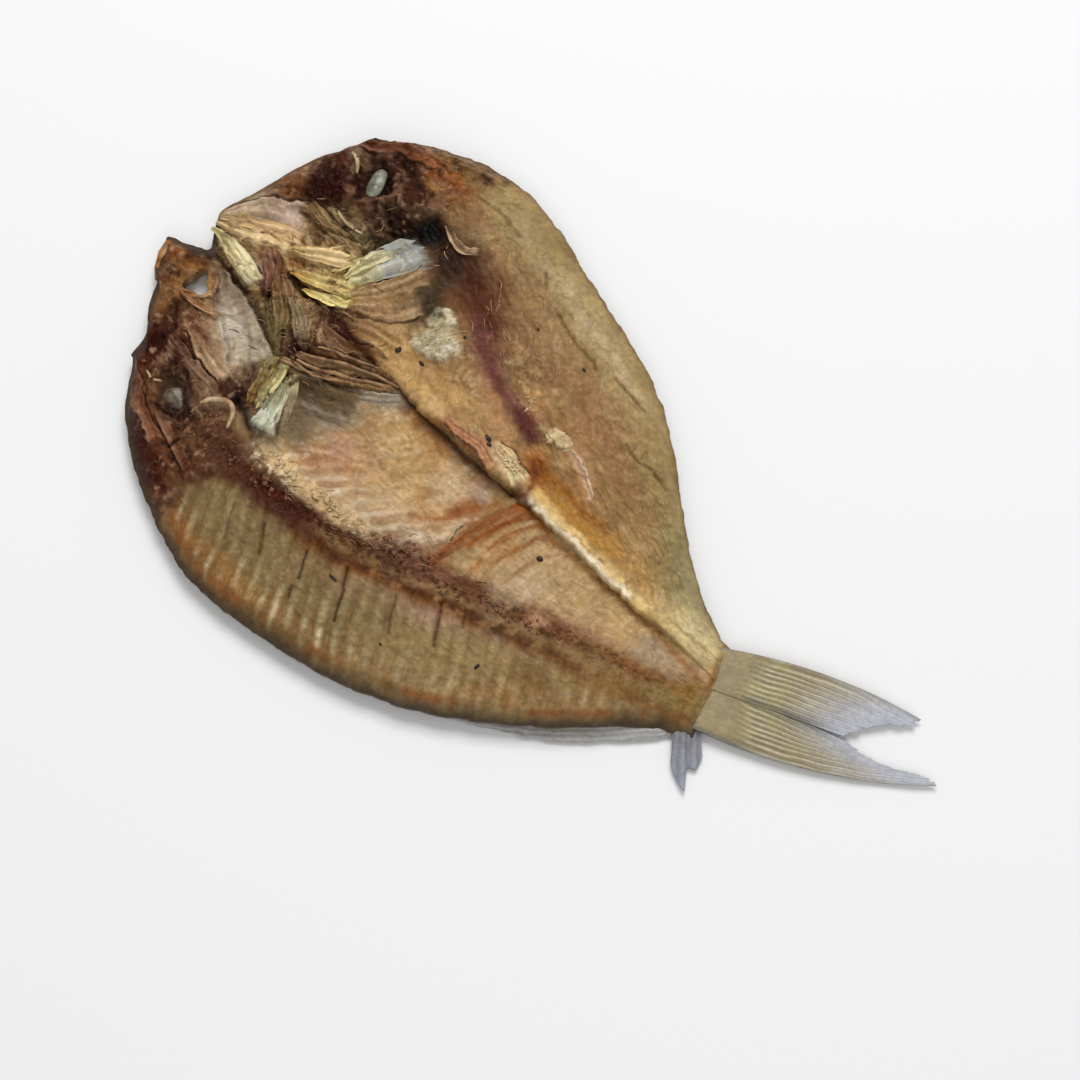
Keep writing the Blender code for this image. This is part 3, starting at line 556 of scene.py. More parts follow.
headSpots = [
    # plain half of the head
    (-112, 45, 24, 18, -12, "4d2a1a", 0.8), (-126, 30, 8, 10, 10, "350d08", 0.85),
    # near-black painted shade in the hollows at (-98, 38) and, on the next line, (-91, 46)
    (-130, 45, 5, 10, 20, "5a3220", 0.7), (-98, 38, 12, 8, 0, "2b140e", 0.9),
    (-91, 46, 6, 5, 0, "160807", 0.95), (-101, 62, 15, 3.4, -4, "864a22", 0.8),
    (-93, 58, 7, 4, -20, "7e4a26", 0.7), (-112, 66, 12, 3, 18, "77583a", 0.7),
    (-99, 71, 14, 3.4, 16, "80684a", 0.6), (-121, 60, 8, 3, 30, "6d5138", 0.7),
    (-135, 26, 5, 4, 0, "8a5e3c", 0.7), (-133, 22, 7, 2.6, -20, "77441f", 0.6),
    (-110, 53, 7, 3, 0, "2a1512", 0.7), (-122, 51, 5, 4, 0, "1d0c0b", 0.85),
    (-108, 42, 4, 6, 0, "1d0f0d", 0.7), (-112, 30, 13, 3, 0, "7a6040", 0.75),
    (-106, 27, 13, 4.5, 0, "72694e", 0.7), (-92, 26, 9, 6, 60, "8c8460", 0.7),
    (-118, 21, 12, 3.4, 6, "8a6c4c", 0.7), (-127, 13, 9, 5, 10, "bb9f84", 0.85),
    (-123, 15, 4, 3, -20, "c0aca6", 0.7), (-133, 13, 4, 4, 50, "a8815a", 0.7),
    (-136, 4, 7, 5, 20, "c4ae92", 0.8), (-139, 12, 3, 5, 0, "a2967e", 0.7),
    (-126, 4, 10, 2.4, 22, "c9ab84", 0.8), (-112, 12, 9, 3, 24, "c0aa70", 0.8),
    (-101, 14, 9, 4, 30, "c2ab74", 0.75), (-97, 6, 9, 3.4, 20, "c8b468", 0.9),
    (-112, 5, 3, 5, -30, "96683a", 0.6), (-104, 3, 7, 1.6, 10, "4a2410", 0.8),
    (-94, 10, 4, 3, -30, "9a6e24", 0.7), (-84, 14, 6, 6, 40, "a98562", 0.7),
    (-87, 4, 7, 3, 20, "6d4a30", 0.7), (-118, -3, 6, 3.6, -30, "6a4434", 0.75),
    (-127, 47, 3, 2, -40, "a08a7c", 0.6), (-95, 49, 5, 2.6, 30, "8f7258", 0.6),
    # painted shade in the hollow at (-74, 30)
    (-84, 52, 8, 5, 10, "7c6142", 0.6), (-74, 30, 5, 8, 0, "2e2622", 0.7), (-78, 40, 6, 5, 0, "2a130a", 0.85),
    (-100, 60, 4, 2, 20, "9c5a2c", 0.7), (-93, 63, 5, 2, 10, "a06434", 0.6),
    (-104, 66, 8, 2, 10, "8f7048", 0.6), (-112, 61, 6, 1.6, 20, "3a1c12", 0.7),
    (-98, 56, 5, 1.5, 0, "c0925c", 0.5), (-90, 67, 7, 3, 0, "8d7446", 0.6),
    # spine half of the head
    (-141, -17, 9, 4, -10, "7c4a20", 0.85), (-142, -12.5, 8, 1.8, -12, "3a1a0c", 0.85),
    (-135, -25, 6, 4, -30, "8a5c34", 0.8), (-130, -20.5, 6, 5, 0, "a98352", 0.8),
    (-134, -33, 6, 4, -45, "8a643c", 0.8), (-131, -42, 5, 5, -60, "6e4424", 0.75),
    (-118, -16, 10, 4, -20, "86705e", 0.8), (-111, -24, 9, 6, -20, "b0a58c", 0.9),
    (-105, -31, 8, 4, -20, "b59c82", 0.8), (-121, -25, 5, 3, 0, "b08e6a", 0.75),
    (-101, -23, 6, 5, 0, "a89c84", 0.7), (-119, -33, 5, 4, -30, "8a5a48", 0.6),
    (-123, -42, 7, 8, -40, "3a140e", 0.85), (-113, -46, 10, 6, -20, "47291f", 0.85),
    (-122, -54, 6, 5, -50, "502414", 0.8), (-107, -52, 6, 5, 0, "5e5246", 0.6),
    # painted shadow to the right of the sunken eye at (-99, -56)
    (-99, -56, 6, 4, 30, "170807", 0.9), (-112, -60, 9, 3, -40, "7a4a2a", 0.7),
    (-104, -64, 11, 3, -18, "83553c", 0.65), (-107, -70, 9, 3, -30, "43160f", 0.85),
    (-92, -74, 12, 4, -12, "4a1f12", 0.85), (-84, -66, 7, 6, 0, "4f2a18", 0.8),
    (-90, -55, 10, 7, 10, "654531", 0.85), (-97, -47, 5, 4, 40, "8f7766", 0.6),
    (-90, -44, 5, 1.6, 10, "b39a88", 0.7), (-78, -52, 8, 5, 0, "5b3a2a", 0.8),
    # painted shade in the gap at (-92, -38)
    (-92, -38, 8, 4, -20, "2e120c", 0.85), (-104, -42, 8, 2, -14, "a98c72", 0.55),
    (-108, -12, 8, 5, -20, "665032", 0.8), (-101, -12, 6, 5, 0, "6e5c40", 0.7),
    (-99, -5, 7, 3, -20, "93785c", 0.7), (-92, -14, 6, 5, 0, "3c1c12", 0.85),
    # painted shade in the hollows at (-86, -13) and (-86, 0)
    (-86, -13, 6, 3.4, 0, "2c0f0b", 0.85), (-86, 0, 9, 3, -6, "43211a", 0.85),
    (-97, -21, 5, 5, 0, "6d5e3c", 0.7), (-76, -24, 10, 10, 30, "5a4a38", 0.8),
    (-72, -8, 9, 2.6, 30, "553625", 0.75), (-66, -20, 4, 8, -10, "8a8276", 0.7),
    (-80, -31, 5, 6, 0, "6a5a48", 0.6), (-78, -42, 6, 3, 0, "2a211c", 0.75),
    (-57, -6, 5, 3, 30, "938a80", 0.6), (-70, -33, 5, 5, 30, "5e5242", 0.6),
]
# painted shade in the hollows under the leaves of the throat, and painted sheens upon them
hollowShade = [
    (-126, 31, 7, 9, 10, "280705", 0.9), (-121, 33, 6, 4, 0, "34100a", 0.8),
    (-88, -13, 7, 3.4, 20, "2c0d09", 0.9), (-102, -73, 12, 3.6, -24, "34100a", 0.85),
]
leafSheens = [
    (-125, 15.5, 5, 2.6, -20, "cbb6b0", 0.8), (-112, -22, 6, 4.4, -20, "c4bdb4", 0.75),
    (-118, -16, 6, 3, -10, "8a786e", 0.6), (-113, 5.5, 2.0, 3.0, -20, "8c5a2a", 0.5),
]
# lines drawn on the flesh: half, points, width, wobble, strength, colour, and how a patchy one breaks up
foldLines = [
    ("", [(-12, 21), (-2, 21), (6, 19), (12, 16)], 0.9, 1.0, 0.8, "d9b7a2"),
    ("plain", [(-1, 2.6), (8, 3.0), (20, 2.4), (36, 1.6), (50, 1.4)], 1.7, 0.5, 0.9, "dfc48a", 1.1, 3.4, 133),
    ("plain", [(-2, 1.2), (12, 1.2), (24, 0.8), (42, 0.4)], 0.9, 0.6, 0.95, "f3ead6", 1.4, 3, 150),
    # painted shadow line between the lip's yellow band and its white line
    ("plain", [(2, 2.3), (14, 2.2), (30, 1.6)], 0.4, 0.8, 0.8, "9c6526", 0.4, 4, 151),
    ("plain", [(44, 1.2), (60, 1.6), (73, 1.8)], 1.5, 0.5, 0.7, "c8b17a"),
]
bodyLines = [
    ("plain", [(56, 3.6), (66, 4.6), (76, 5.6)], 0.6, 0.6, 0.6, "937a48"),
    ("", [(74, 10), (77, 4), (80, -3), (83, -9)], 0.9, 0.8, 0.75, "8c5a24"),
    ("", [(77, 1), (78.5, -2)], 1.3, 0.8, 0.7, "c08a4c"),
    ("spine", [(2, -1.5), (20, -2.5), (45, -1.5), (74, -3)], 1.5, 0.5, 0.75, "8a5c26"),
    # painted shadow under the overhanging lip of the plain half
    ("spine", [(-62, -1), (-48, -1.6), (-30, -2.2), (-8, -0.8)], 1.8, 0.6, 0.95, "3c2110"),
    ("", [(-7, 0.5), (-3, 1), (1, 0)], 1.5, 1.0, 0.9, "4a1c0e"),
    ("plain", [(-70, 44), (-60, 38), (-52, 34)], 4.2, 1.0, 0.85, "45200f"),
    ("plain", [(-56, 33), (-47, 27), (-36, 22), (-18, 17.5)], 2.6, 1.0, 0.85, "683c36", 1.1, 4, 129),
    ("plain", [(-50, 31), (-38, 25), (-24, 20)], 1.2, 1.0, 0.7, "94675a", 0.3, 3, 130),
    ("plain", [(-24, 18), (-16, 17)], 1.4, 1.0, 0.8, "4e2420"),
    # painted shade deep in the amber cave under the lip
    ("plain", [(-10, 12), (-6, 10), (-3, 4)], 1.7, 1.0, 0.85, "6e3209"),
    ("plain", [(0, 8), (12, 7.4), (28, 6)], 2.6, 1.0, 0.6, "a67c30"),
    ("plain", [(-8, 13.5), (4, 11.5), (22, 10.5)], 1.3, 1.0, 0.8, "8a5418", 0.8, 8, 32),
]


def colourFlesh(f):
    x, y = f.x, f.y
    fine = rough(x, y, 1.6, 51, 2)
    broad = rough(x, y, 8, 52)
    f.tint[:] = linear("9a835c")
    f.dye(f.plain, "997e54")

    # loin strip
    loin = soft((f.out - 1) / 4) * f.spine
    f.dye(loin, "7f6c4a")
    f.dye(loin * soft(rough(x, y, 7, 53)) * 0.7, "705d3b")
    f.dye(loin * soft((x + 20) / 30) * (1 - soft((x - 60) / 20)) * 0.45, "9a8762")
    f.dye(loin * soft((10 - x) / 40) * 0.5, "6f6042")
    edge = spineEdge(x) + y  # distance in from the spine edge
    outer = np.exp(-((edge - 11) / 8) ** 2) * f.spine
    seam, number = loinSeam(f), np.floor(loinWave(f)).astype(int)
    dim = 0.15 + 0.85 * seamStrength[number % 128]
    patchy = soft(0.75 + rough(x, y, 4.5, 54)) * (1 - 0.6 * soft((x + 25) / 30))
    f.dye(loin * np.exp(-((edge - 5) / 5) ** 2) * 0.45 * soft(0.9 + rough(x, y, 7, 136)), "80562c")
    f.dye(loin * outer * seam ** 3 * 0.6 * patchy, "74502a")
    f.dye(loin * outer * (1 - seam) ** 2 * dim * 0.85 * patchy, "b5a780")
    f.dye(loin * np.exp(-((edge - 8) / 4.5) ** 2) * (1 - seam) ** 6 * dim * 0.8 * patchy, "d2c8aa")
    dim = seamStrength[(np.floor(loinWave(f) + 0.5).astype(int) + 40) % 128]
    f.dye(loin * (1 - outer) * seam ** 8 * dim * soft(0.9 + rough(x, y, 6, 137)) * 0.85, "64401f")
    f.dye(loin * (1 - outer) * (1 - seam) ** 3 * soft(0.4 + rough(x, y, 11, 44)) * 0.55, "a3946d")
    f.dye(loin * soft(rough(x, y, 4, 56) - 0.1) * 0.4, "9c8c60")
    f.dye(loin * np.exp(-((f.out - 9) / 5) ** 2) * soft((x + 34) / 20) * (1 - soft((x - 24) / 16)) * 0.5,
          "9a7f70")

    # belly lining, with pale ribs near the backbone
    belly = bellyOf(f)
    f.dye(belly, "b79567")
    f.dye(belly * soft(1.3 * rough(x, y, 10, 57)) * 0.75, "94693a")
    f.dye(belly * soft(1.3 * rough(x, y, 8, 58)) * 0.6, "ccae7e")
    f.dye(belly * soft(1.4 * streaks(x, y, 50, 3.4, 18, 47) - 0.3) * 0.7, "8c5f34")
    f.dye(belly * soft(1.4 * streaks(x, y, 44, 2.2, 14, 116) - 0.5) * 0.5, "d6c09a")
    f.dye(belly * soft(2.2 * streaks(f.fx, f.fy, 46, 4, 9, 125) - 0.3) * 0.7, "86592f")
    f.dye(belly * soft(2.2 * streaks(f.fx, f.fy, 42, 3, 9, 126) - 0.3) * 0.75, "dfcdb0")
    # painted highlight spots for the wet sheen of the belly lining
    f.dye(belly * soft(2.2 * rough(x, y, 2.2, 139) - 0.9) * 0.6, "efe6d6")
    ribs = wave(ribPhase(f))
    ribZone = belly * np.exp(-((y + 0.74 * backbone(x)) / 7.0) ** 2) * soft((x + 68) / 14)
    f.dye(ribZone * 0.55, "b59c86")
    f.dye(ribZone * soft(1.6 * ribs - 0.35) * 0.8 * soft(0.8 + rough(x, y, 5, 115)), "e2d8ca")
    f.dye(ribZone * (1 - ribs) ** 3 * 0.85, "8a5c38")

    # muscle behind the vent, with thin bone spines
    muscle = tailMuscleOf(f)
    f.dye(soft((f.wx + 0.16 * f.wy + 9) / 5) * f.spine * soft((-f.out - 1) / 5), "b0966f")
    f.dye(muscle * spineLines(f) * 0.6 * soft(0.6 + rough(x, y, 8, 40)), "d0c1a4")
    dark = wave((x + 6.0 * (1 - np.exp(y / 9)) + 2.1 + 0.8 * rough(x, y, 9, 39)) / 4.4) ** 4
    f.dye(muscle * dark * soft((24 - x) / 18) * soft(0.7 + rough(x, y, 7, 38)) * 0.9, "96581f")
    f.dye(f.spine * soft((x - 20) / 20) * soft((-f.out) / 4) * soft(streaks(x, y, 8, 2.0, 18, 59)) * 0.4,
          "9a7648")

    # backbone band: dark torn tissue, with an orange line on its outer side
    lean = f.out + 1.2 * rough(x, y, 4, 45)
    band = np.exp(-((lean + 2.5) / 4.6) ** 4) * f.spine * soft((x + 96) / 10)
    f.dye(band * (0.95 - 0.4 * soft((x - 20) / 40)), "603a26")
    f.dye(band * soft(0.2 + 1.6 * rough(x, y, 3.2, 60)) * soft((10 - x) / 40) * 0.9, "341509")
    f.dye(band * soft(1.5 * rough(x, y, 2.6, 61) - 0.3) * 0.7, "a8846a")
    under = f.spine * soft((x + 52) / 14) * (1 - 0.35 * soft((x - 10) / 40))
    f.dye(under * np.exp(-((lean - 6.8) / 3.4) ** 2) * soft(1.2 + rough(x, y, 6, 37)) * 0.8, "85592f")
    f.dye(under * np.exp(-((lean - 6.4) / 2.7) ** 2) * soft(1.2 + 1.2 * rough(x, y, 4, 138)) * 0.97, "4a260b")
    f.dye(under * np.exp(-((lean - 8.6) / 1.6) ** 2) * soft(0.6 + rough(x, y, 6, 149)) * 0.3, "8a5a2c")
    f.dye(np.exp(-((lean - 2.5) / 5.5) ** 4) * f.spine * soft((-34 - x) / 16) * 0.97, "42180c")
    rubble = f.spine * np.exp(-((f.out + 6.5) / 3.6) ** 4) * soft((x + 80) / 5) * (1 - soft((x + 34) / 12))
    f.dye(rubble * soft(0.9 + rough(x, y, 4, 36)) * 0.95, "c9b592")
    f.dye(rubble * soft(1.6 * rough(x, y, 2.2, 34) - 0.5) * 0.85, "7a5638")
    f.dye(rubble * soft(2.2 * rough(x, y, 2.8, 142) - 0.1) * 0.9, "62442c")
    f.dye(rubble * soft(2.2 * rough(x, y, 1.9, 33) - 0.7) * 0.9, "efe6d0")

    # plain half
    mid = f.plain * soft((plainEdge(x) - y - 10) / 8) * (1 - soft((x - 20) / 26)) * f.body
    f.dye(mid * 0.6, "927250")
    f.dye(mid * soft(streaks(f.fx, f.fy, -36, 1.5, 5, 62) - 0.35) * 0.7, "b9986c")
    f.dye(mid * soft(streaks(f.fx, f.fy, -30, 3.4, 9, 63) - 0.1) * 0.55, "65432a")
    f.dye(mid * soft(rough(x, y, 9, 46)) * 0.5, "9d7c50")
    f.dye(f.plain * f.body * soft(2 * rough(f.fx, f.fy * 1.6, 6, 127) - 0.3) * 0.5, "6b4c2d")
    f.dye(f.plain * f.body * soft(2 * rough(f.fx, f.fy * 1.8, 5, 128) - 0.4) * 0.55, "c0aa80")
    f.dye(f.plain * f.body * soft(2.2 * wrinkleOf(f) - 1.3) * 0.15, "d0bd98")
    # painted highlight flecks on the plain half
    f.dye(f.plain * f.body * soft(2 * rough(f.fx, f.fy * 1.8, 2.2, 143) - 1.1) * 0.3, "d2c2a0")
    f.dye(f.plain * f.body * soft(2 * rough(f.fx, f.fy * 1.8, 2.2, 147) - 1.1) * 0.35, "5e4426")
    flow = f.plain * soft((x - 12) / 24)
    f.dye(flow * soft(streaks(f.fx, f.fy, -27, 2.0, 14, 64)) * 0.45, "a8a07c")
    f.dye(flow * soft(streaks(f.fx, f.fy, -20, 1.8, 14, 65) - 0.1) * 0.4, "80703f")
    outerPlain = f.plain * np.exp(-((plainEdge(x) - y - 8) / 9) ** 2) * f.body
    f.dye(outerPlain * 0.6, "9c8960")
    f.dye(outerPlain * soft(streaks(f.fx, f.fy, -16, 2.2, 12, 66)) * 0.4, "87704a")

    for px, py, long, wide, turn, code, strength in fleshSpots:
        mask = f.blob(px, py, long, wide, turn) * strength
        f.dye(mask * (f.plain if py > 0 else f.spine), code)

    heap = fatHeap(f)
    f.dye(heap * 0.95, "b2a98f")
    f.dye(heap * soft(1.2 * rough(x, y, 3.2, 144) + 0.3) * 0.8, "dcd6c4")
    f.dye(heap * soft(1.6 * rough(x, y, 2.4, 145) - 0.2) * 0.75, "6f6248")
    # the fat's own pale colour, with painted highlight along the crests of its folds
    f.dye(heap * fatFolds(f) ** 2 * soft(0.6 + rough(x, y, 5, 146)) * 0.85, "ece8dc")
    # painted shade in the hollow beside the fat heap
    f.dye(f.plain * f.blob(-71, 24, 3.6, 6.5, 0) * 0.8, "2c231c")

    # lines: the vent's ray, cracks, the pale lip, and painted shadow along the fold and in the cave under the
    # lip
    ray = f.stroke(ventRay, 3.0, 0.6) * f.spine
    f.dye(ray, "8a5530")
    f.dye(ray * soft(streaks(x, y, 74, 1.0, 12, 67)) * 0.9, "a8652c")
    f.dye(ray * soft(streaks(x, y, 74, 0.9, 12, 68) - 0.15) * 0.8, "4a1f10")
    f.dye(f.stroke([(-3, -3), (3, -1), (7, -2)], 1.6) * f.spine * 0.8, "a05a20")
    for points, width, dim in ventArcs:
        f.dye(f.stroke(points, width, 0.5) * f.spine * dim, "8c4e18")
    for crack in loinCracks:
        f.dye(f.stroke(crack[:-1], 0.4, 0.25) * 0.9 * min(crack[-1], 1), "2e1c12")
    for crack in plainCracks:
        f.dye(f.stroke(crack, 0.45, 0.4) * 0.55 * f.plain, "5c4226")
    f.draw(foldLines)
    f.dye(f.plain * soft((x - 50) / 12) * np.exp(-((y - 5) / 5) ** 2) * 0.8, "d6c8a0")
    f.draw(bodyLines)

    # head
    f.dye(f.head * 0.97, "56321f")
    f.dye(f.head * f.blob(-112, 6, 30, 15, 0), "a08461")
    f.dye(f.head * soft(rough(x, y, 4.2, 69)) * 0.6, "34160d")
    f.dye(f.head * soft(rough(x, y, 3.4, 70) - 0.2) * 0.5, "8a6546")
    f.dye(f.head * f.throat * soft(1.4 * f.fan) * 0.7, "c4a981")
    f.dye(f.head * f.throat * soft(-1.4 * f.fan) * 0.6, "4a2a19")
    for px, py, long, wide, turn, code, strength in headSpots:
        f.dye(f.blob(px, py, long, wide, turn) * min(strength * 1.12, 1), code)
    f.dye(f.head * soft(1.6 * rough(x, y, 4.6, 71) - 0.35) * 0.55, "96745c")
    f.dye(f.head * soft(1.6 * rough(x, y, 2.2, 30) - 0.5) * 0.6, "b2937a")
    f.dye(f.head * soft(1.5 * rough(x, y, 3.4, 72) - 0.35) * 0.7, "260e09")
    f.dye(f.head * f.throat * soft(1.6 * f.fan - 0.4) * 0.6, "d0b68e")
    f.dye(f.head * f.throat * soft(-1.6 * f.fan - 0.5) * 0.6, "3a2014")
    # painted shade in the hollows under the leaves
    f.dapple(hollowShade)
    for number, index, along, across, mask, wide, hair in f.leaves():
        strands, first, second, up = (tissue[number][i] for i in (3, 4, 5, 7))
        fold, lean = foldsOf(number, strands, along, across)
        # painted shadow on the flesh just beyond the raised side of each leaf
        shadow = (wide * np.exp(-((across * up - 1.12) / 0.2) ** 2) * 0.8)[:, None]
        f.tint[index] += (linear("23100a") - f.tint[index]) * shadow
        blend = soft(along + 0.25 * hair)[:, None]
        # painted light and shade of the folds: lighter towards the raised side, painted shade in the grooves
        # through fibre, and a painted highlight along each crest from fold ** 8
        rise = 0.14 * up * np.clip(across, -1, 1)
        fibre = (0.80 + 0.20 * fold + foldShade(fold, lean, hair, rise))[:, None]
        body = (linear(first) * (1 - blend) + linear(second) * blend) * fibre + 0.12 * (fold ** 8)[:, None]
        f.tint[index] += (body - f.tint[index]) * (0.93 * mask)[:, None]
    # painted sheens on the leaves
    f.dapple(leafSheens)
    # painted shade in each crease line and gap of the head
    for points, width, code in shadedCreases:
        f.dye(f.stroke(points, width, 0.7) * 0.92, code)
    # painted shade in the deepest hollow of the head, at (-91, 45.5)
    f.dye(f.blob(-91, 45.5, 6.5, 4.6, -20) * 0.97, "0a0403")
    for at, reach, dim in zip(fish["eyes"], (7.2, 6.0), (0.92, 0.7)):
        away = np.hypot((f.wx - at[0]) * 1.1, f.wy - at[1])
        f.dye(np.exp(-(away / reach) ** 4) * dim, "1d0f0b")
        f.dye(np.exp(-((away - reach - 2.4) / 1.3) ** 2) * soft(0.4 + rough(x, y, 4, 117)) * 0.7, "84604e")

    end = fish["back"] + 5 * np.where(y > 0, -y / 11, -y / 16)
    f.dye(soft((x - end + 7) / 6) * soft((x - 66) / 4) * 0.75, "9c8b66")
    f.dye(soft((x - end + 1.6) / 1.2) * soft((x - 66) / 4) * 0.8, "8a5c2c")

    # dark dried skin showing along the cut edge
    rimWidth = 2.8 + 1.0 * rough(x, y, 6, 73)
    rimAway = f.inset + soft((x - 62) / 8) * np.maximum(spineEdge(x) + y - f.inset, 0)
    skinRim = f.spine * np.exp(-(np.maximum(rimAway - 0.2, 0) / np.maximum(rimWidth, 0.5)) ** 2)
    f.dye(skinRim * 0.97, "453a32")
    f.dye(f.spine * np.exp(-((f.inset - 4.4) / 1.4) ** 2) * f.body * soft(0.5 + rough(x, y, 8, 48)) * 0.75,
          "8a5730")
    f.dye(f.plain * np.exp(-(f.inset / 0.9) ** 2) * 0.7, "6a5a44")

    shade = 1 + 0.10 * fine + 0.07 * broad + 0.12 * rough(x, y, 4, 116) + 0.05 * rough(x, y, 0.9, 74, 1)
    f.tint *= shade[:, None] * np.array([0.965, 0.925, 0.83])
    f.tint = np.clip(f.tint, 0.003, 0.95)


def skinOf(x, y, inset):
    # the scaled side: darker towards the back, pale along the belly, smooth on the head
    apart = np.where(y > 0, y / np.maximum(plainEdge(x), 1), -y / np.maximum(spineEdge(x), 1))
    flank = soft(apart)
    tint = linear("b9ab8d") * (1 - flank)[:, None] + linear("6b5f4a") * flank[:, None]
    size = 3.1
    row = x / (0.55 * size)
    shift = 0.5 * (np.floor(row) % 2)
    across = (y / size + shift) % 1 - 0.5
    along = row % 1
    cup = along - 0.55 * (1 - (2 * across) ** 2)
    scale = cup % 1
    body = soft((x + 92 + 8 * np.abs(y) / 60) / 8) * soft((80 - x) / 8)
    height = body * 0.22 * scale
    lateral = np.exp(-((apart - 0.56) / 0.012) ** 2) * body
    height = height + 0.12 * lateral
    tint = tint * (1 - 0.30 * (body * (1 - scale) ** 2)[:, None]) * (1 - 0.25 * lateral[:, None])
    head = 1 - body
    gill = np.exp(-((np.hypot(x + 128, (np.abs(y) - 34) * 0.9) - 42) / 1.1) ** 2) * (x < -84)
    height = height + head * 0.25 * rough(x, y, 5, 81) * soft(inset / 6)
    tint = dyed(tint, 0.7 * gill * soft((x + 112) / 10), "54402c")
    gold = head * soft(0.4 + rough(x, y, 8, 82))
    tint = dyed(tint, 0.6 * gold, "8c7650")
    eye = np.hypot(x + 114, np.abs(y) - 47)
    tint = dyed(tint, np.exp(-(eye / 6.2) ** 6), "2a211b")
    ring = np.exp(-((eye - 6.6) / 0.9) ** 2)
    tint = dyed(tint, 0.8 * ring, "b39a5c")
    height = height + 0.5 * np.exp(-(eye / 6.0) ** 4)
    rim = np.exp(-(inset / 3.5) ** 2)
    tint = dyed(tint, 0.85 * rim, "4c4239")
    tint = tint * (1 + 0.12 * rough(x, y, 2.4, 83) + 0.12 * rough(x, y, 11, 84))[:, None]
    return height, np.clip(tint, 0.01, 0.9)


def grainDirection(f):
    # which way the muscle runs at each point, in degrees
    way = np.full_like(f.x, -42.0)
    way = np.where(f.x > 18, -26.0, way)
    way = np.where(f.inset < 16, -16.0, way)
    way = np.where(f.y < 0, 95.0, way)
    way = np.where((f.y < 0) & (f.out > 2), -58.0, way)
    way = np.where((f.y < 0) & (f.out <= 2) & (f.x < -9), 50.0, way)
    return np.radians(way)


# making meshes

def newObject(name, mesh, materials):
    made = bpy.data.objects.new(name, mesh)
    collection.objects.link(made)
    for material in materials:
        mesh.materials.append(material)
    mesh.shade_smooth()
    return made


def keepAttribute(mesh, name, kind, values):
    layer = mesh.attributes.new(name, kind, "POINT")
    if kind == "FLOAT_COLOR":
        values = np.hstack([values, np.ones((len(values), 1))])
        layer.data.foreach_set("color", values.astype(np.float32).ravel())
    else:
        layer.data.foreach_set("vector", values.astype(np.float32).ravel())


def keptEdges(piece):
    # the walls stay crisp, so that neighbouring pieces shade as one surface
    piece.data.set_sharp_from_angle(angle=math.radians(60))
    return piece


def closedSheet(name, columns, rows, place, materials, hole=None, wallSlot=None):
    # a grid with a second layer under it; place turns shares along and across into points, colours and grain
    shape = bmesh.new()
    bmesh.ops.create_grid(shape, x_segments=columns, y_segments=rows, size=0.5)
    if hole:
        gone = [face for face in shape.faces if hole(*(face.calc_center_median().xy + Vector((0.5, 0.5))))]
        bmesh.ops.delete(shape, geom=gone, context="FACES")
    made = bmesh.ops.extrude_face_region(shape, geom=shape.faces[:], use_keep_orig=True)
    below = [item for item in made["geom"] if isinstance(item, bmesh.types.BMVert)]
    bmesh.ops.translate(shape, vec=(0, 0, -1), verts=below)
    bmesh.ops.recalc_face_normals(shape, faces=shape.faces[:])
    for face in shape.faces:
        z = [vert.co.z for vert in face.verts]
        if max(z) < -0.5:
            face.material_index = min(1, len(materials) - 1)
        elif min(z) < -0.5:
            middle = face.calc_center_median()
            face.material_index = wallSlot(middle.x + 0.5, middle.y + 0.5) if wallSlot else 0
    mesh = bpy.data.meshes.new(name)
    shape.to_mesh(mesh)
    shape.free()
    flat = np.empty(len(mesh.vertices) * 3, np.float32)
    mesh.vertices.foreach_get("co", flat)
    flat = flat.reshape(-1, 3).astype(float)
    points, tint, grain = place(flat[:, 0] + 0.5, flat[:, 1] + 0.5, flat[:, 2] > -0.5)
    mesh.vertices.foreach_set("co", (points * mm).astype(np.float32).ravel())
    keepAttribute(mesh, "tint", "FLOAT_COLOR", tint)
    keepAttribute(mesh, "grain", "FLOAT_VECTOR", grain)
    mesh.update()
    return newObject(name, mesh, materials)


def riseOf(f):
    # thickness of the fish, down to its rim at the cut edges
    rim = fish["rim"]
    return rim + (np.maximum(f.height, rim + 0.6) - rim) * soft((f.inset + 1.2) / 8)


def fleshPlace(uStart, uEnd, sideStart, sideEnd):
    def place(a, b, top):
        u, side = uStart + (uEnd - uStart) * a, sideStart + (sideEnd - sideStart) * b
        x, y, inset = planOf(u, side)
        f = Flesh(x, y, inset)
        shapeFlesh(f)
        colourFlesh(f)
        rise = riseOf(f)
        relief, skinTint = skinOf(x, y, inset)
        low = undersideOf(x, inset)
        z = np.where(top, low + rise, low + 0.75 - np.minimum(relief, 0.6) * soft(inset / 2))
        if sideStart == 0:
            # the plain half's lip hangs over the belly
            over = np.exp(-(y / 2.2) ** 2) * soft((x + 60) / 8) * (1 - soft((x - 40) / 30)) * top
            y = y - over * (1.4 + 0.9 * rough(x, x * 0 + 3.0, 4.5, 91))
        ripple = 0.5 * rough(x, y, 5, 92) * np.exp(-(inset / 2.5) ** 2)
        y = y + ripple * np.sign(y) * (np.abs(y) > 8)
        tint = np.where(top[:, None], f.tint, skinTint)
        way = grainDirection(f)
        along = f.fx * np.cos(way) + f.fy * np.sin(way)
        across = f.fy * np.cos(way) - f.fx * np.sin(way)
        grain = np.stack([along * 0.22, across, z], -1)
        away, turn = np.hypot(x + 96, y - 2), np.arctan2(y - 2, x + 96)
        spokes = np.stack([away * 0.16, turn * 26 + 200, z], -1)
        grain = np.where((f.head * f.throat > 0.5)[:, None], spokes, grain)
        return np.stack([x, y, z], -1), tint, grain

    return place


# materials

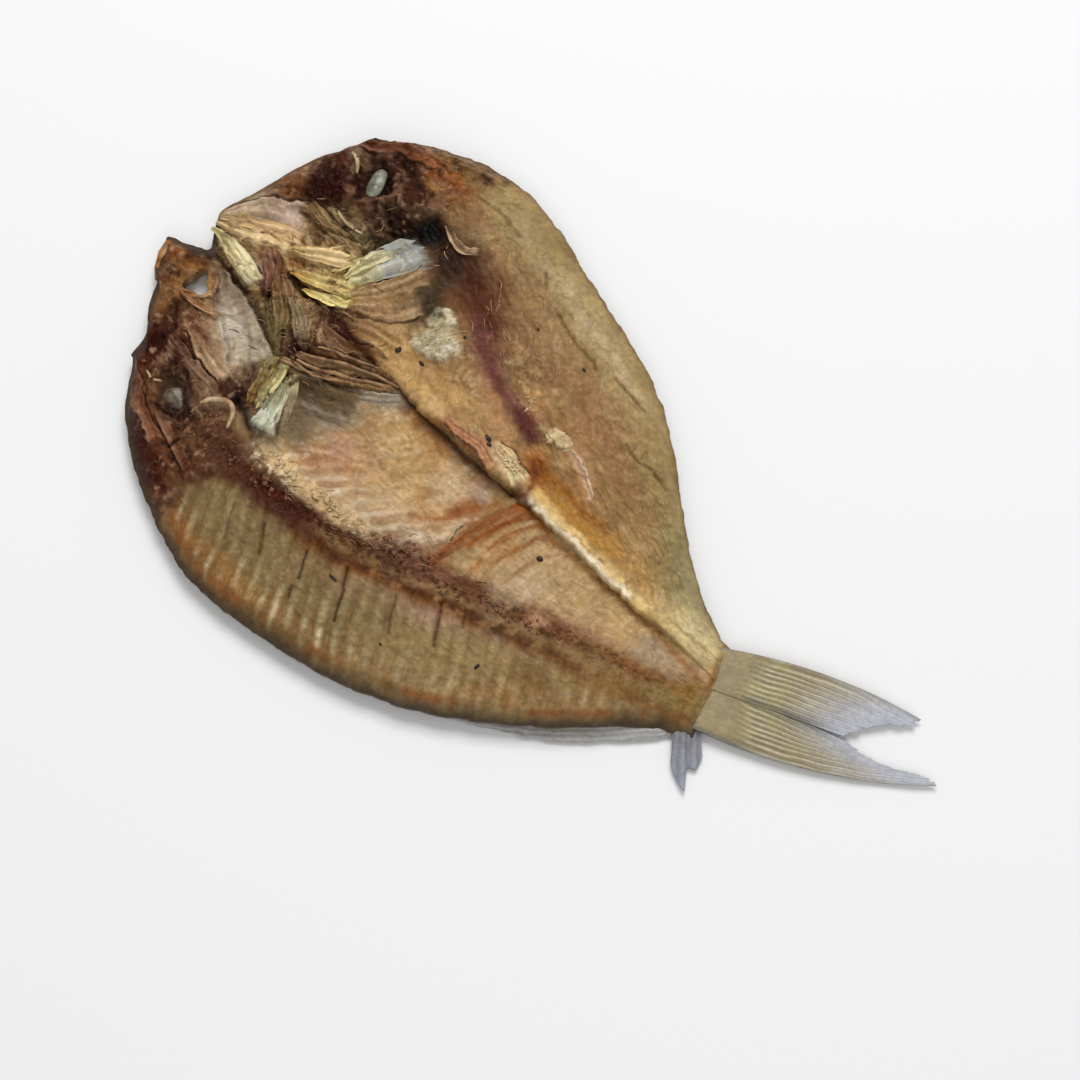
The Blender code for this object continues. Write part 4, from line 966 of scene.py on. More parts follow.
class Value:
    # a socket that takes part in Python sums
    def __init__(self, tree, socket):
        self.tree, self.socket = tree, socket

    def math(self, operation, other=None, swap=False):
        node = self.tree.nodes.new("ShaderNodeMath")
        node.operation = operation
        for slot, item in zip((1, 0) if swap else (0, 1), (self, other)):
            if isinstance(item, Value):
                self.tree.links.new(item.socket, node.inputs[slot])
            elif item is not None:
                node.inputs[slot].default_value = item
        return Value(self.tree, node.outputs[0])

    def __add__(self, other):
        return self.math("ADD", other)

    def __radd__(self, other):
        return self.math("ADD", other, True)

    def __sub__(self, other):
        return self.math("SUBTRACT", other)

    def __rsub__(self, other):
        return self.math("SUBTRACT", other, True)

    def __mul__(self, other):
        return self.math("MULTIPLY", other)

    def __rmul__(self, other):
        return self.math("MULTIPLY", other, True)

    def clamped(self):
        return self.math("MAXIMUM", 0.0).math("MINIMUM", 1.0)


class Finish:
    # a material whose nodes are added one call at a time
    def __init__(self, name, **fixed):
        self.material = bpy.data.materials.new(name)
        self.material.use_nodes = True
        self.tree = self.material.node_tree
        self.shader = self.tree.nodes["Principled BSDF"]
        for socket, value in fixed.items():
            self.shader.inputs[socket.replace("_", " ")].default_value = value

    def node(self, kind, settings=None, **inputs):
        made = self.tree.nodes.new("ShaderNode" + kind)
        for key, value in (settings or {}).items():
            setattr(made, key, value)
        for key, value in inputs.items():
            numbered = key[0] == "i" and key[1:].isdigit()
            socket = made.inputs[int(key[1:]) if numbered else key.replace("_", " ")]
            if isinstance(value, Value):
                self.tree.links.new(value.socket, socket)
            else:
                socket.default_value = value
        return lambda output=0: Value(self.tree, made.outputs[output])

    def attribute(self, name):
        return self.node("Attribute", {"attribute_name": name})("Color" if name == "tint" else "Vector")

    def objectSpace(self):
        return self.node("TexCoord")("Object")

    def noise(self, vector, scale, detail=3.0, roughness=0.55):
        return self.node("TexNoise", None, Vector=vector, Scale=scale, Detail=detail,
                         Roughness=roughness)("Fac")

    def mixed(self, factor, first, second, blend="MIX"):
        made = self.node("Mix", {"data_type": "RGBA", "blend_type": blend}, i0=factor, i6=first, i7=second)
        return made(2)

    def feed(self, **links):
        for socket, value in links.items():
            self.tree.links.new(value.socket, self.shader.inputs[socket.replace("_", " ")])
        return self

    def bumped(self, height, strength, distance):
        return self.node("Bump", None, Strength=strength, Distance=distance, Height=height)("Normal")


def spread(value, low, high):
    return low + (high - low) * value


def tintedFinish(name, coarse, fibre, bump, roughLow, roughHigh, gloss=0.0, **fixed):
    made = Finish(name, **fixed)
    where, tint, grain = made.objectSpace(), made.attribute("tint"), made.attribute("grain")
    threads = made.noise(grain, fibre, 4.0, 0.6)
    specks = made.noise(where, coarse, 5.0, 0.62)
    broad = made.noise(where, coarse * 0.22, 3.0)
    lines = ((threads - 0.36) * 3.2).clamped()
    spots = ((specks - 0.40) * 3.6).clamped()
    streaked = made.mixed(lines, made.mixed(1.0, tint, (0.88, 0.84, 0.79, 1.0), "MULTIPLY"), tint)
    mottled = made.mixed(spots, streaked, made.mixed(1.0, streaked, (1.28, 1.24, 1.16, 1.0), "MULTIPLY"))
    height = threads * 0.35 + specks * 0.8 + broad * 0.9
    made.feed(Base_Color=mottled, Roughness=spread(specks * 0.6 + broad * 0.4, roughLow, roughHigh),
              Normal=made.bumped(height, 0.5, bump))
    if gloss:
        # oil shows as a faint coat on the pale parts only
        made.feed(Coat_Weight=((tint - 0.04) * 2.4).clamped() * (0.3 * gloss))
    return made.material


fleshFinish = tintedFinish("dried flesh", 620.0, 0.55, 0.0005, 0.34, 0.62, 1.0, Specular_IOR_Level=0.10,
                           Coat_Roughness=0.24)
skinFinish = tintedFinish("dried skin", 700.0, 0.8, 0.0003, 0.30, 0.55, Specular_IOR_Level=0.4)
print("materials made")


# the flesh in closed pieces that meet at the backbone, the fold and the neck

neckShare, waistShare = 0.24, 0.58
fleshPieces = {
    "headPlain": {"columns": 150, "rows": 310, "u": (0.0, neckShare), "side": (0.0, 1.0)},
    "headSpine": {"columns": 150, "rows": 310, "u": (0.0, neckShare), "side": (-1.0, 0.0)},
    "plainFront": {"columns": 290, "rows": 165, "u": (neckShare, waistShare), "side": (0.0, 1.0)},
    "plainBack": {"columns": 290, "rows": 165, "u": (waistShare, 1.0), "side": (0.0, 1.0)},
    "bellyWall": {"columns": 420, "rows": 115, "u": (neckShare, 1.0), "side": (-0.5, 0.0)},
    "loinStrip": {"columns": 420, "rows": 115, "u": (neckShare, 1.0), "side": (-1.0, -0.5)},
}


def holeInJaw(a, b):
    x, y, _ = planOf(np.array([a * neckShare]), np.array([b - 1.0]))
    hx, hy, radius = fish["jawHole"]
    dx, dy = x[0] - hx, y[0] - hy
    return math.hypot(dx, dy * 0.9) < radius * (1 + 0.25 * math.cos(3 * math.atan2(dy, dx) + 0.6))


pieces = []
for pieceName, cut in fleshPieces.items():
    low, high = cut["side"]

    def wall(a, b, cut=cut):
        rim = (b > 0.99 and cut["side"][1] == 1.0) or (b < 0.01 and cut["side"][0] == -1.0)
        ends = (a < 0.004 and cut["u"][0] == 0.0) or (a > 0.998 and cut["u"][1] == 1.0)
        return 1 if rim or ends else 0

    piece = closedSheet(pieceName, cut["columns"], cut["rows"], fleshPlace(*cut["u"], *cut["side"]),
                        [fleshFinish, skinFinish], holeInJaw if pieceName == "headSpine" else None, wall)
    pieces.append(keptEdges(piece))
    print("made", pieceName, len(piece.data.polygons))


# where the flesh's surface is, for pieces that lie on it

def surfaceMap(step=0.6):
    xs, ys = np.arange(-156, 92, step), np.arange(-96, 84, step)
    x, y = (part.ravel() for part in np.meshgrid(xs, ys, indexing="ij"))
    inset = np.minimum(np.where(y >= 0, plainEdge(x) - y, spineEdge(x) + y), 1.6 * (fish["back"] - x))
    f = Flesh(x, y, np.maximum(inset, 0))
    shapeFlesh(f)
    table = (undersideOf(x, f.inset) + riseOf(f)).reshape(len(xs), len(ys))

    def surfaceAt(x, y):
        gx = np.clip((np.atleast_1d(np.asarray(x, float)) - xs[0]) / step, 0, len(xs) - 2)
        gy = np.clip((np.atleast_1d(np.asarray(y, float)) - ys[0]) / step, 0, len(ys) - 2)
        ix, iy = gx.astype(int), gy.astype(int)
        fx, fy = gx - ix, gy - iy
        return ((table[ix, iy] * (1 - fx) + table[ix + 1, iy] * fx) * (1 - fy)
                + (table[ix, iy + 1] * (1 - fx) + table[ix + 1, iy + 1] * fx) * fy)

    return surfaceAt


surfaceAt = surfaceMap()


# tail fin: two lobes of rays, the upper one lapping over the lower

tailFin = {
    "rays": 9, "rootThick": 1.5, "tipThick": 0.28, "droop": 0.0279, "high": 5.5,
    "lobes": [
        {"root": ((71, 7.5), (79, -3)), "bow": 3.4, "lift": 0.35,
         "trail": [(0, 132), (0.12, 130.5), (0.35, 126), (0.62, 122), (1, 118)],
         "trailAcross": [(0, 35.8), (0.12, 31.5), (0.35, 28), (0.62, 22.5), (1, 15)]},
        {"root": ((78, 0), (80, -16.6)), "bow": -4.6, "lift": 0.0,
         "trail": [(0, 120), (0.22, 127), (0.5, 134), (0.8, 144), (1, 148.5)],
         "trailAcross": [(0, 14.5), (0.22, 15.4), (0.5, 17.6), (0.8, 23), (1, 23.4)]},
    ],
}


def lobePlace(number):
    lobe = tailFin["lobes"][number]
    endX, endY = curveThrough(lobe["trail"]), curveThrough(lobe["trailAcross"])

    def place(a, b, top):
        # a runs along the rays, b across them
        (x0, y0), (x1, y1) = lobe["root"]
        rootX, rootY = x0 + (x1 - x0) * b, y0 + (y1 - y0) * b
        ragged = 1.3 * rough(b * 60, b * 0, 2.2, 101 + number) * soft((a - 0.6) / 0.4)
        ex, ey = endX(b), endY(b)
        length = np.hypot(ex - rootX, ey - rootY)
        reach = a * (1 + ragged / length)
        side = (1 - b) if number == 0 else b
        bow = lobe["bow"] * side ** 1.4 * 4 * reach * (1 - reach)
        nx, ny = -(ey - rootY) / length, (ex - rootX) / length
        x = rootX + (ex - rootX) * reach + nx * bow
        y = rootY + (ey - rootY) * reach + ny * bow
        turns = b * tailFin["rays"] + 0.25 * rough(x, y, 12, 103, 2)
        single = wave(turns)
        forked = 0.5 + 0.5 * np.cos(4 * np.pi * turns + 1.2)
        ray = single * (1 - 0.6 * soft((a - 0.3) / 0.35)) + 0.6 * forked * soft((a - 0.3) / 0.35)
        thick = tailFin["rootThick"] * (1 - a) + tailFin["tipThick"] * a
        middle = tailFin["high"] - tailFin["droop"] * x + lobe["lift"] * (1 - 0.4 * a)
        middle = middle + 0.5 * rough(x, y, 16, 104, 2) * a
        relief = 0.34 * (ray - 0.5) * (1 - 0.6 * a) * soft((a - 0.18) / 0.12)
        z = np.where(top, middle + thick / 2 + relief, middle - thick / 2 - relief * 0.5)
        z = np.maximum(z, 0.05)
        fade = soft((a - 0.45) / 0.5)[:, None]
        tint = linear("9c8c68") * (1 - fade) + linear("c0c2ce") * fade
        outward = soft((a - 0.22) / 0.10)
        tint = tint * (1 - (0.30 * outward * (1 - fade[:, 0] * 0.6) * (1 - ray))[:, None])
        tint = dyed(tint, 0.6 * outward * ray ** 2 * (1 - soft((a - 0.62) / 0.3)), "ded8be")
        tint = dyed(tint, 0.5 * np.exp(-((a - 0.36) / 0.10) ** 2) * soft(0.4 + rough(x, y, 5, 107)), "b0a866")
        dim = np.exp(-((b - (1 if number == 0 else 0)) / 0.13) ** 2)
        dim = dim * soft((0.98 - a) / 0.3) * soft((a - 0.2) / 0.1)
        tint = dyed(tint, 0.7 * dim, "4c463c")
        tint = tint * (1 + 0.06 * rough(x, y, 9, 105) + 0.05 * rough(x, y, 1.4, 106))[:, None]
        if number == 1:
            tint = dyed(tint, 0.8 * np.exp(-((b - 1) / 0.07) ** 2) * soft((0.42 - a) / 0.25), "4f483e")
        tint = tint * (1 + 0.16 * rough(x, y, 3, 148) * (1 - soft((a - 0.25) / 0.2)))[:, None]
        edge = np.exp(-((b - (0 if number == 0 else 1)) / 0.03) ** 2)
        tint = (tint + (linear("8a857c") - tint) * (0.6 * edge)[:, None]) * np.array([0.89, 0.92, 0.95])
        grain = np.stack([a * length * 0.14, b * 16, z], -1)
        return np.stack([x, y, z], -1), np.clip(tint, 0.01, 0.9), grain

    return place


finFinish = tintedFinish("fin rays and web", 800.0, 1.2, 0.0002, 0.35, 0.6, Subsurface_Weight=0.15,
                         Subsurface_Radius=(0.002, 0.002, 0.002), Specular_IOR_Level=0.4)
pieces.append(closedSheet("tailLobeUpper", 110, 150, lobePlace(0), [finFinish]))
pieces.append(closedSheet("tailLobeLower", 120, 160, lobePlace(1), [finFinish]))
print("made tail fin")


# back fin, folded flat along the cut edge, and the fins under the skin side

backFin = {"start": 27.0, "end": 84.0,
           "depth": [(27, 1.2), (38, 3.6), (46, 5.8), (54, 8.4), (62, 10.4), (70, 9.6), (77, 6.8), (84, 2.0)]}


def backFinPlace(a, b, top):
    x = backFin["start"] + (backFin["end"] - backFin["start"]) * a
    rootY = -(spineEdge(x) - 2.2)
    depth = 2.2 + curveThrough(backFin["depth"])(x) + 0.5 * rough(x, x * 0, 3, 111) * b
    y = rootY - depth * b
    lines = 4.2 * b + (x - backFin["start"]) / 30.0 + 0.3 * rough(x, y, 14, 116, 2)
    ray = wave(lines)
    thick = 1.0 - 0.75 * b
    middle = 3.3 - 2.1 * b + 0.3 * rough(x, y, 9, 112)
    z = np.maximum(np.where(top, middle + thick / 2 + 0.14 * ray, middle - thick / 2), 0.06)
    tint = linear("9a9894") * (1 - b)[:, None] + linear("a9a9aa") * b[:, None]
    tint = tint * (0.80 + 0.26 * ray)[:, None]
    # painted highlight on the back fin around x 68
    tint = dyed(tint, 0.6 * np.exp(-((x - 68) / 9) ** 2 - ((b - 0.45) / 0.22) ** 2), "d0d2d2")
    tint = dyed(tint, 0.55 * np.exp(-((x - 55) / 10) ** 2 - ((b - 0.5) / 0.16) ** 2), "8a8562")
    tint = dyed(tint, 0.9 * np.exp(-(b / 0.22) ** 2), "3c352f")
    return np.stack([x, y, z], -1), np.clip(tint, 0.01, 0.9), np.stack([x * 0.2, y, z], -1)


pieces.append(closedSheet("backFin", 190, 40, backFinPlace, [finFinish]))


def tornFinPlace(a, b, top):
    # the torn end of the back fin, one wedge notched at its end
    endX = curveThrough([(0, 84.6), (0.2, 88), (0.45, 95.4), (0.66, 91.4), (0.84, 93.4), (1, 92.2)])(b)
    endY = curveThrough([(0, -25.0), (0.2, -28.6), (0.45, -31.0), (0.66, -25.4), (0.84, -23.6),
                         (1, -19.6)])(b)
    rootX, rootY = 77.0 + 9.0 * b, -16.6 + 3.0 * b
    x = rootX + (endX - rootX) * a + 0.2 * rough(b * 20, a * 3, 1.6, 131)
    y = rootY + (endY - rootY) * a
    ray = wave(b * 5)
    middle = 2.6 - 1.2 * a + 0.3 * np.sin(5 * b)
    z = np.where(top, middle + 0.3 + 0.12 * ray, middle - 0.25)
    tint = linear("8f93a0") * (0.78 + 0.3 * ray)[:, None] * (1 + 0.12 * rough(x, y, 2, 132))[:, None]
    tint = dyed(tint, 0.7 * (1 - a) ** 2, "5a5650")
    return np.stack([x, y, z], -1), np.clip(tint, 0.01, 0.9), np.stack([a * 3, b * 6, z], -1)


pieces.append(closedSheet("tornFin", 34, 30, tornFinPlace, [finFinish]))

underFins = {
    # root, tip, root width, tip width, bend, number of rays
    "armFinPlain": [(-72, 40), (-42, 47), 6, 17, 3, 15],
    "armFinSpine": [(-72, -44), (-42, -52), 6, 17, -3, 15],
    "bellyFinPlain": [(-70, 7), (-46, 13), 4, 12, 1, 7],
    "bellyFinSpine": [(-70, -7), (-46, -13), 4, 12, -1, 7],
    "ventFin": [(4, -5), (58, -3), 3, 6, -3, 26],
}


def underFinPlace(root, tip, rootWide, tipWide, bend, rays):
    def place(a, b, top):
        dx, dy = tip[0] - root[0], tip[1] - root[1]
        length = math.hypot(dx, dy)
        across = (b - 0.5) * (rootWide + (tipWide - rootWide) * a) + bend * np.sin(np.pi * a)
        reach = a * (1 - 0.22 * (2 * b - 1) ** 2)
        x = root[0] + dx * reach - dy / length * across
        y = root[1] + dy * reach + dx / length * across
        ray = wave(b * rays)
        z = np.where(top, 0.95 - 0.2 * a, 0.30 - 0.16 * ray * (1 - 0.5 * a) + 0.12 * a)
        tint = linear("a89c80") * (0.68 + 0.36 * ray)[:, None] * (1 + 0.12 * rough(x, y, 4, 114))[:, None]
        return np.stack([x, y, z], -1), np.clip(tint, 0.01, 0.9), np.stack([a * 4, b * 16, z], -1)

    return place


for finName, finSizes in underFins.items():
    pieces.append(closedSheet(finName, 60, max(6 * finSizes[-1], 40), underFinPlace(*finSizes), [finFinish]))
print("made folded fins")


# loose sheets of the throat and gills, over the folds of the same tissue

def sheetPlace(leaf, seed):
    line, start, end, strands, first, second, _, up, raised = leaf
    px, py = np.array(line, float).T
    share = np.linspace(0, 1, len(line))
    alongX, alongY = curveThrough(list(zip(share, px))), curveThrough(list(zip(share, py)))

    def place(a, b, top):
        v = 2 * b - 1
        reach = a * (0.92 + 0.09 * rough(b * 5, b * 0, 1.0, seed) - 0.05 * up * v) + 0.02
        step = 0.01
        tx, ty = alongX(reach + step) - alongX(reach - step), alongY(reach + step) - alongY(reach - step)
        size = np.maximum(np.hypot(tx, ty), 1e-6)
        half = 0.5 * (start + (end - start) * a) * (0.5 + 0.5 * soft(a / 0.3))
        half = half * (1 - 0.4 * soft((a - 0.75) / 0.25) ** 2)
        half = half * (0.95 + 0.12 * rough(a * 8, np.sign(v) * 3, 2.0, seed))
        x, y = alongX(reach) - ty / size * v * half, alongY(reach) + tx / size * v * half
        lie = 0.5 * (surfaceAt(alongX(reach), alongY(reach)) + np.mean(surfaceAt(px, py)))
        full = np.sin(np.pi * np.clip(a * 0.84 + 0.08, 0, 1)) ** 0.6
        fold, lean = foldsOf(seed, 0.8 * strands, a, v, 0.16 * rough(x, y, 7, seed + 2))
        bend = (0.5 + 0.5 * up * v) ** 1.3 * raised * full - 0.9 * (1 - full) - 0.35 + 0.5 * fold * full
        bend = bend + 0.35 * rough(x, y, 5.0, seed + 1, 2)
        z = np.maximum(lie + bend + np.where(top, 0.14, -0.12), 0.3)
        blend = soft(a + 0.3 * rough(x, y, 4, seed + 3))[:, None]
        tint = (linear(first) * (1 - blend) + linear(second) * blend) * np.array([1.0, 0.96, 0.88])
        hair = rough(a * 2.2, v * half, 0.7, seed + 4)
        blotch = 0.1 * rough(x, y, 3.0, seed + 5)
        # painted shade in the grooves, painted light towards the raised side and a painted highlight along
        # each crest
        tint = tint * (0.84 + 0.16 * fold + foldShade(fold, lean, hair, 0.12 * up * v) + blotch)[:, None]
        tint = tint + 0.12 * (fold ** 8)[:, None]
        return np.stack([x, y, z], -1), np.clip(tint, 0.005, 0.95), np.stack([a * 6, v * half, z], -1)

    return place


sheets = [leaf for leaf in tissue if leaf[-1] > 0]
for number, leaf in enumerate(sheets):
    pieces.append(closedSheet(f"sheet{number:02d}", 56, 30, sheetPlace(leaf, 200 + 7 * number),
                              [fleshFinish]))
print("made", len(sheets), "loose sheets")


# threads: bones, strands and loose fibres, drawn as tapered tubes

def threads(name, lines, finish, sides=1):
    # each line is a list of (x, y, z, radius) in mm
    curve = bpy.data.curves.new(name, "CURVE")
    curve.dimensions = "3D"
    curve.bevel_depth = 1.0
    curve.bevel_resolution = sides
    curve.use_fill_caps = True
    for line in lines:
        spline = curve.splines.new("POLY")
        spline.points.add(len(line) - 1)
        for knot, (x, y, z, radius) in zip(spline.points, line):
            knot.co = (x * mm, y * mm, z * mm, 1)
            knot.radius = radius * mm
    holder = bpy.data.objects.new(name, curve)
    collection.objects.link(holder)
    bpy.context.view_layer.update()
    mesh = bpy.data.meshes.new_from_object(holder.evaluated_get(bpy.context.evaluated_depsgraph_get()))
    bpy.data.objects.remove(holder)
    mesh.name = name
    shape = bmesh.new()
    shape.from_mesh(mesh)
    bmesh.ops.remove_doubles(shape, verts=shape.verts[:], dist=1e-7)
    bmesh.ops.recalc_face_normals(shape, faces=shape.faces[:])
    shape.to_mesh(mesh)
    shape.free()
    mesh.materials.clear()
    return newObject(name, mesh, [finish])


def curved(points, radius, lift, count=10, taper=0.25, wobble=0.0, seed=1):
    # a line over the flesh through these places, thinner at its ends
    px, py = np.array(points, float).T
    share = np.linspace(0, 1, len(points))
    s = np.linspace(0, 1, count)
    x, y = curveThrough(list(zip(share, px)))(s), curveThrough(list(zip(share, py)))(s)
    x = x + wobble * rough(s * 30, s * 0, 6, seed)
    y = y + wobble * rough(s * 30, s * 0 + 50, 6, seed)
    z = surfaceAt(x, y)
    z = (np.convolve(np.pad(z, 2, mode="edge"), np.ones(5) / 5, "valid")
         + lift * (0.4 + 0.6 * np.sin(np.pi * s)))
    size = radius * (taper + (1 - taper) * np.sin(np.pi * np.clip(s * 0.8 + 0.1, 0, 1)))
    return list(zip(x, y, np.maximum(z, 0.3), size))


def strandFinish(name, dark, light, scale, roughness=0.5):
    made = Finish(name, Roughness=roughness, Specular_IOR_Level=0.35)
    patch = ((made.noise(made.objectSpace(), scale, 4.0, 0.6) - 0.35) * 3.2).clamped()
    darkTint, lightTint = ((*(linear(code) * (1.0, 0.94, 0.84)), 1.0) for code in (dark, light))
    made.feed(Base_Color=made.mixed(patch, darkTint, lightTint),
              Normal=made.bumped(made.noise(made.objectSpace(), scale * 4), 0.5, 0.0004))
    return made.material


boneFinish = strandFinish("dried bone", "9c7c58", "d3c0a0", 260.0)
strandBrown = strandFinish("dried gut strand", "5c3a26", "b8966e", 180.0, 0.35)
fibreFinish = strandFinish("loose fibre", "8a6440", "cdb592", 300.0)
darkFibre = strandFinish("dark fibre", "2c140c", "6d452c", 220.0)

rng = np.random.default_rng(7)
throat = [
    ([(-91, -17), (-80, -13), (-70, -8), (-59, -2)], 0.8),
    ([(-90, -14), (-80, -9), (-69, -4), (-58, -0.5)], 0.7), ([(-86, -9), (-77, -4), (-67, 0)], 0.6),
    ([(-89, -18.6), (-80, -16), (-70, -10.5)], 0.5),
]
strandLines = [curved(points, radius, 1.0, 14, 0.3, 0.5, 300 + i)
               for i, (points, radius) in enumerate(throat)]
pieces.append(threads("throatStrands", strandLines, strandBrown, 2))

archLines = [
    curved([(-97.5, -53), (-96, -47), (-91, -43), (-87, -44.5), (-85, -49)], 0.9, 1.6, 12, 0.4, 0.2, 350),
    curved([(-127, 46), (-123, 44.5), (-121, 42)], 0.7, 0.8, 8, 0.4, 0.2, 351),
    curved([(-116, 28.5), (-110, 27), (-104, 28)], 0.5, 0.6, 8, 0.4, 0.2, 352),
    curved([(-119, -53), (-115, -54), (-113, -52)], 0.5, 0.6, 8, 0.4, 0.2, 353),
]
pieces.append(threads("skullBones", archLines, boneFinish, 2))

fibreZones = {
    # middle, spread, direction, spread of direction, length, count, finish
    "fibresPlain": [(-44, 38), (22, 9), -42, 10, 4, 46, fibreFinish],
    "fibresHead": [(-106, 8), (22, 36), 25, 70, 4, 110, fibreFinish],
    "fibresDark": [(-106, 0), (20, 44), 10, 70, 4, 36, darkFibre],
    "fibresBackbone": [(-30, -46), (40, 4), 30, 60, 3, 120, darkFibre],
    "fibresBackbonePale": [(-40, -42), (28, 4), 40, 50, 3, 90, fibreFinish],
    "fibresThroat": [(-88, -6), (12, 14), 25, 30, 5, 50, fibreFinish],
}
for zoneName, (middle, extent, way, fan, length, count, finish) in fibreZones.items():
    lines = []
    for i in range(count):
        x, y = rng.normal(middle[0], extent[0] * 0.6), rng.normal(middle[1], extent[1] * 0.6)
        if zoneName.startswith("fibresBackbone"):
            y = -float(backbone(x)) + (y - middle[1]) + (4 if "Pale" in zoneName else -0.5)
        angle, reach = math.radians(rng.normal(way, fan * 0.5)), length * rng.uniform(0.5, 1.3)
        bend = rng.uniform(-0.3, 0.3) * reach
        dx, dy = math.cos(angle) * reach, math.sin(angle) * reach
        middlePoint = (x + dx * 0.5 - dy / reach * bend, y + dy * 0.5 + dx / reach * bend)
        lines.append(curved([(x, y), middlePoint, (x + dx, y + dy)],
                            rng.uniform(0.07, 0.16), rng.uniform(0.05, 0.35), 6, 0.3, 0.0, 400))
    pieces.append(threads(zoneName, lines, finish, 0))
print("made threads and bones")


# lumps: crumbs of fat, torn tissue, eye lenses, specks

def lumps(name, spots, finish, detail=2, knobbly=0.3, grain=1.3):
    # each spot is (x, y, lift, half sizes, turn) in mm
    shape = bmesh.new()
    for x, y, lift, size, turn in spots:
        made = bmesh.ops.create_icosphere(shape, subdivisions=detail, radius=1.0)
        base = float(surfaceAt(x, y)[0]) + lift
        c, s = turning(turn)
        for vert in made["verts"]:
            p = vert.co.copy()
            p *= 1 + knobbly * noise.noise(p * grain + Vector((x, y, 0.0)))
            px, py, pz = p.x * size[0], p.y * size[1], p.z * size[2]
            vert.co = Vector((x + px * c - py * s, y + px * s + py * c, max(base + pz, 0.2))) * mm
    mesh = bpy.data.meshes.new(name)
    shape.to_mesh(mesh)
    shape.free()
    return newObject(name, mesh, [finish])


def scattered(middle, extent, turn, count, small, large, lift, flat=0.6):
    c, s = turning(turn)
    spots = []
    for _ in range(count):
        a, r = rng.uniform(0, 2 * math.pi), math.sqrt(rng.uniform(0, 1))
        px, py = extent[0] * r * math.cos(a), extent[1] * r * math.sin(a)
        size = rng.uniform(small, large) * (1.1 - 0.5 * r)
        high = lift * (1 - r * r) + rng.uniform(-0.2, 0.3)
        sizes = (size * rng.uniform(0.8, 1.6), size * rng.uniform(0.6, 1.1), size * flat)
        spots.append((middle[0] + px * c - py * s, middle[1] + px * s + py * c, high, sizes,
                      rng.uniform(0, 180)))
    return spots


jawFinish = strandFinish("jaw horn", "6e3f1a", "b98a58", 200.0, 0.4)
fatFinish = strandFinish("dried fat", "9f9278", "d2c9b0", 300.0, 0.6)
creamFinish = strandFinish("cream crumb", "b49670", "e0cfa8", 260.0, 0.55)
tornFinish = strandFinish("torn tissue", "3c1a10", "8d5f44", 240.0, 0.55)
speckFinish = strandFinish("dark speck", "120a08", "2e2018", 400.0, 0.45)
fatLines = []
for _ in range(14):
    r, way = math.sqrt(rng.uniform(0, 1)), rng.uniform(0, 2 * math.pi)
    x, y = -61 + 4.5 * r * math.cos(way), 20 + 5 * r * math.sin(way)
    heading, line = rng.uniform(0, 2 * math.pi), []
    for _ in range(8):
        line.append((x, y, float(surfaceAt(x, y)[0]) + 0.1, rng.uniform(0.1, 0.18)))
        heading += rng.uniform(-0.5, 0.5)
        x, y = x + 0.8 * math.cos(heading), y + 0.8 * math.sin(heading)
    fatLines.append(line)
pieces.append(threads("fatStrings", fatLines, fatFinish, 1))
hookLine = [
    (-148, -16.5, 5.0, 1.6), (-146.4, -21, 4.8, 2.0), (-144, -25.5, 4.4, 1.5), (-141.8, -28.8, 4.0, 0.4),
]
pieces.append(threads("jawHook", [hookLine], jawFinish, 4))
blobSpots = [(-9, 22, 0.4, (3.4, 2.6, 1.3), 10), (-6.2, 22.5, 0.3, (2.2, 2.2, 1.0), 0),
             (-11, 20.5, 0.2, (1.8, 2.0, 0.9), 0)] + scattered((-8.5, 21.5), (4, 3), 10, 26, 0.4, 0.9, 0.9)
pieces.append(lumps("creamBlob", blobSpots, creamFinish, 3, 0.6, 2.0))
crumbHeaps = {
    # finish, then each heap's middle, spread, turn, count, least and greatest size, lift and flatness
    "creamCrumbs": (creamFinish, [
        ((-13, 5.5), (5, 3.0), -6, 44, 0.4, 0.9, 0.3), ((-66, -45), (9, 2.4), -4, 34, 0.4, 1.2, 0.3, 0.4),
        ((-48, -43.5), (10, 2.2), 8, 30, 0.4, 1.2, 0.2, 0.4),
        ((-24, 24), (3.5, 2.0), -40, 16, 0.4, 0.8, 0.1)]),
    "tornTissue": (tornFinish, [
        ((-90, -54), (9, 7), 10, 34, 0.6, 1.5, 0.2, 0.35), ((-68, -53), (13, 3.0), 8, 34, 0.5, 1.2, 0.2, 0.4),
        ((-18, -38), (11, 4.4), 18, 46, 0.5, 1.2, 0.2, 0.4),
        ((20, -29.5), (22, 2.4), 18, 40, 0.4, 0.9, 0.1, 0.4)]),
}
for heapName, (finish, heaps) in crumbHeaps.items():
    crumbs = [spot for heap in heaps for spot in scattered(*heap)]
    pieces.append(lumps(heapName, crumbs, finish, 1, 0.9, 2.2))
specks = [
    (13.5, -9.8, 1.3, 0.9), (-25.5, 6.4, 1.5, 1.0), (-23.5, 5.2, 1.0, 0.8), (-67.5, 8.3, 1.0, 1.1),
    (-59, 10.4, 1.3, 0.6), (-26.5, -59.6, 1.6, 0.4), (24.8, -48.5, 0.5, 1.2), (-19, 43.2, 0.8, 0.4),
    (-1.2, -64, 0.5, 0.4), (-55, 26, 0.6, 0.5), (-39, 43, 0.5, 0.4),
]
pieces.append(lumps("specks", [(x, y, 0.05, (a, b, 0.45), 0) for x, y, a, b in specks],
                    speckFinish, 2, 0.3, 2.2))

lensFinish = strandFinish("dried eye lens", "292a23", "9da392", 190.0, 0.12)
pieces.append(lumps("eyeLens", [(-114.6, 44.6, 1.0, (2.8, 5.8, 1.8), 22)], lensFinish, 4, 0.16, 1.0))
sunkenFinish = strandFinish("sunken eye", "33241c", "8d8472", 210.0, 0.2)
pieces.append(lumps("sunkenEye", [(-107.4, -52.4, 0.3, (5.0, 3.6, 1.7), 20)], sunkenFinish, 4, 0.28, 1.0))
print("made crumbs and lenses")


# floor, lights and camera

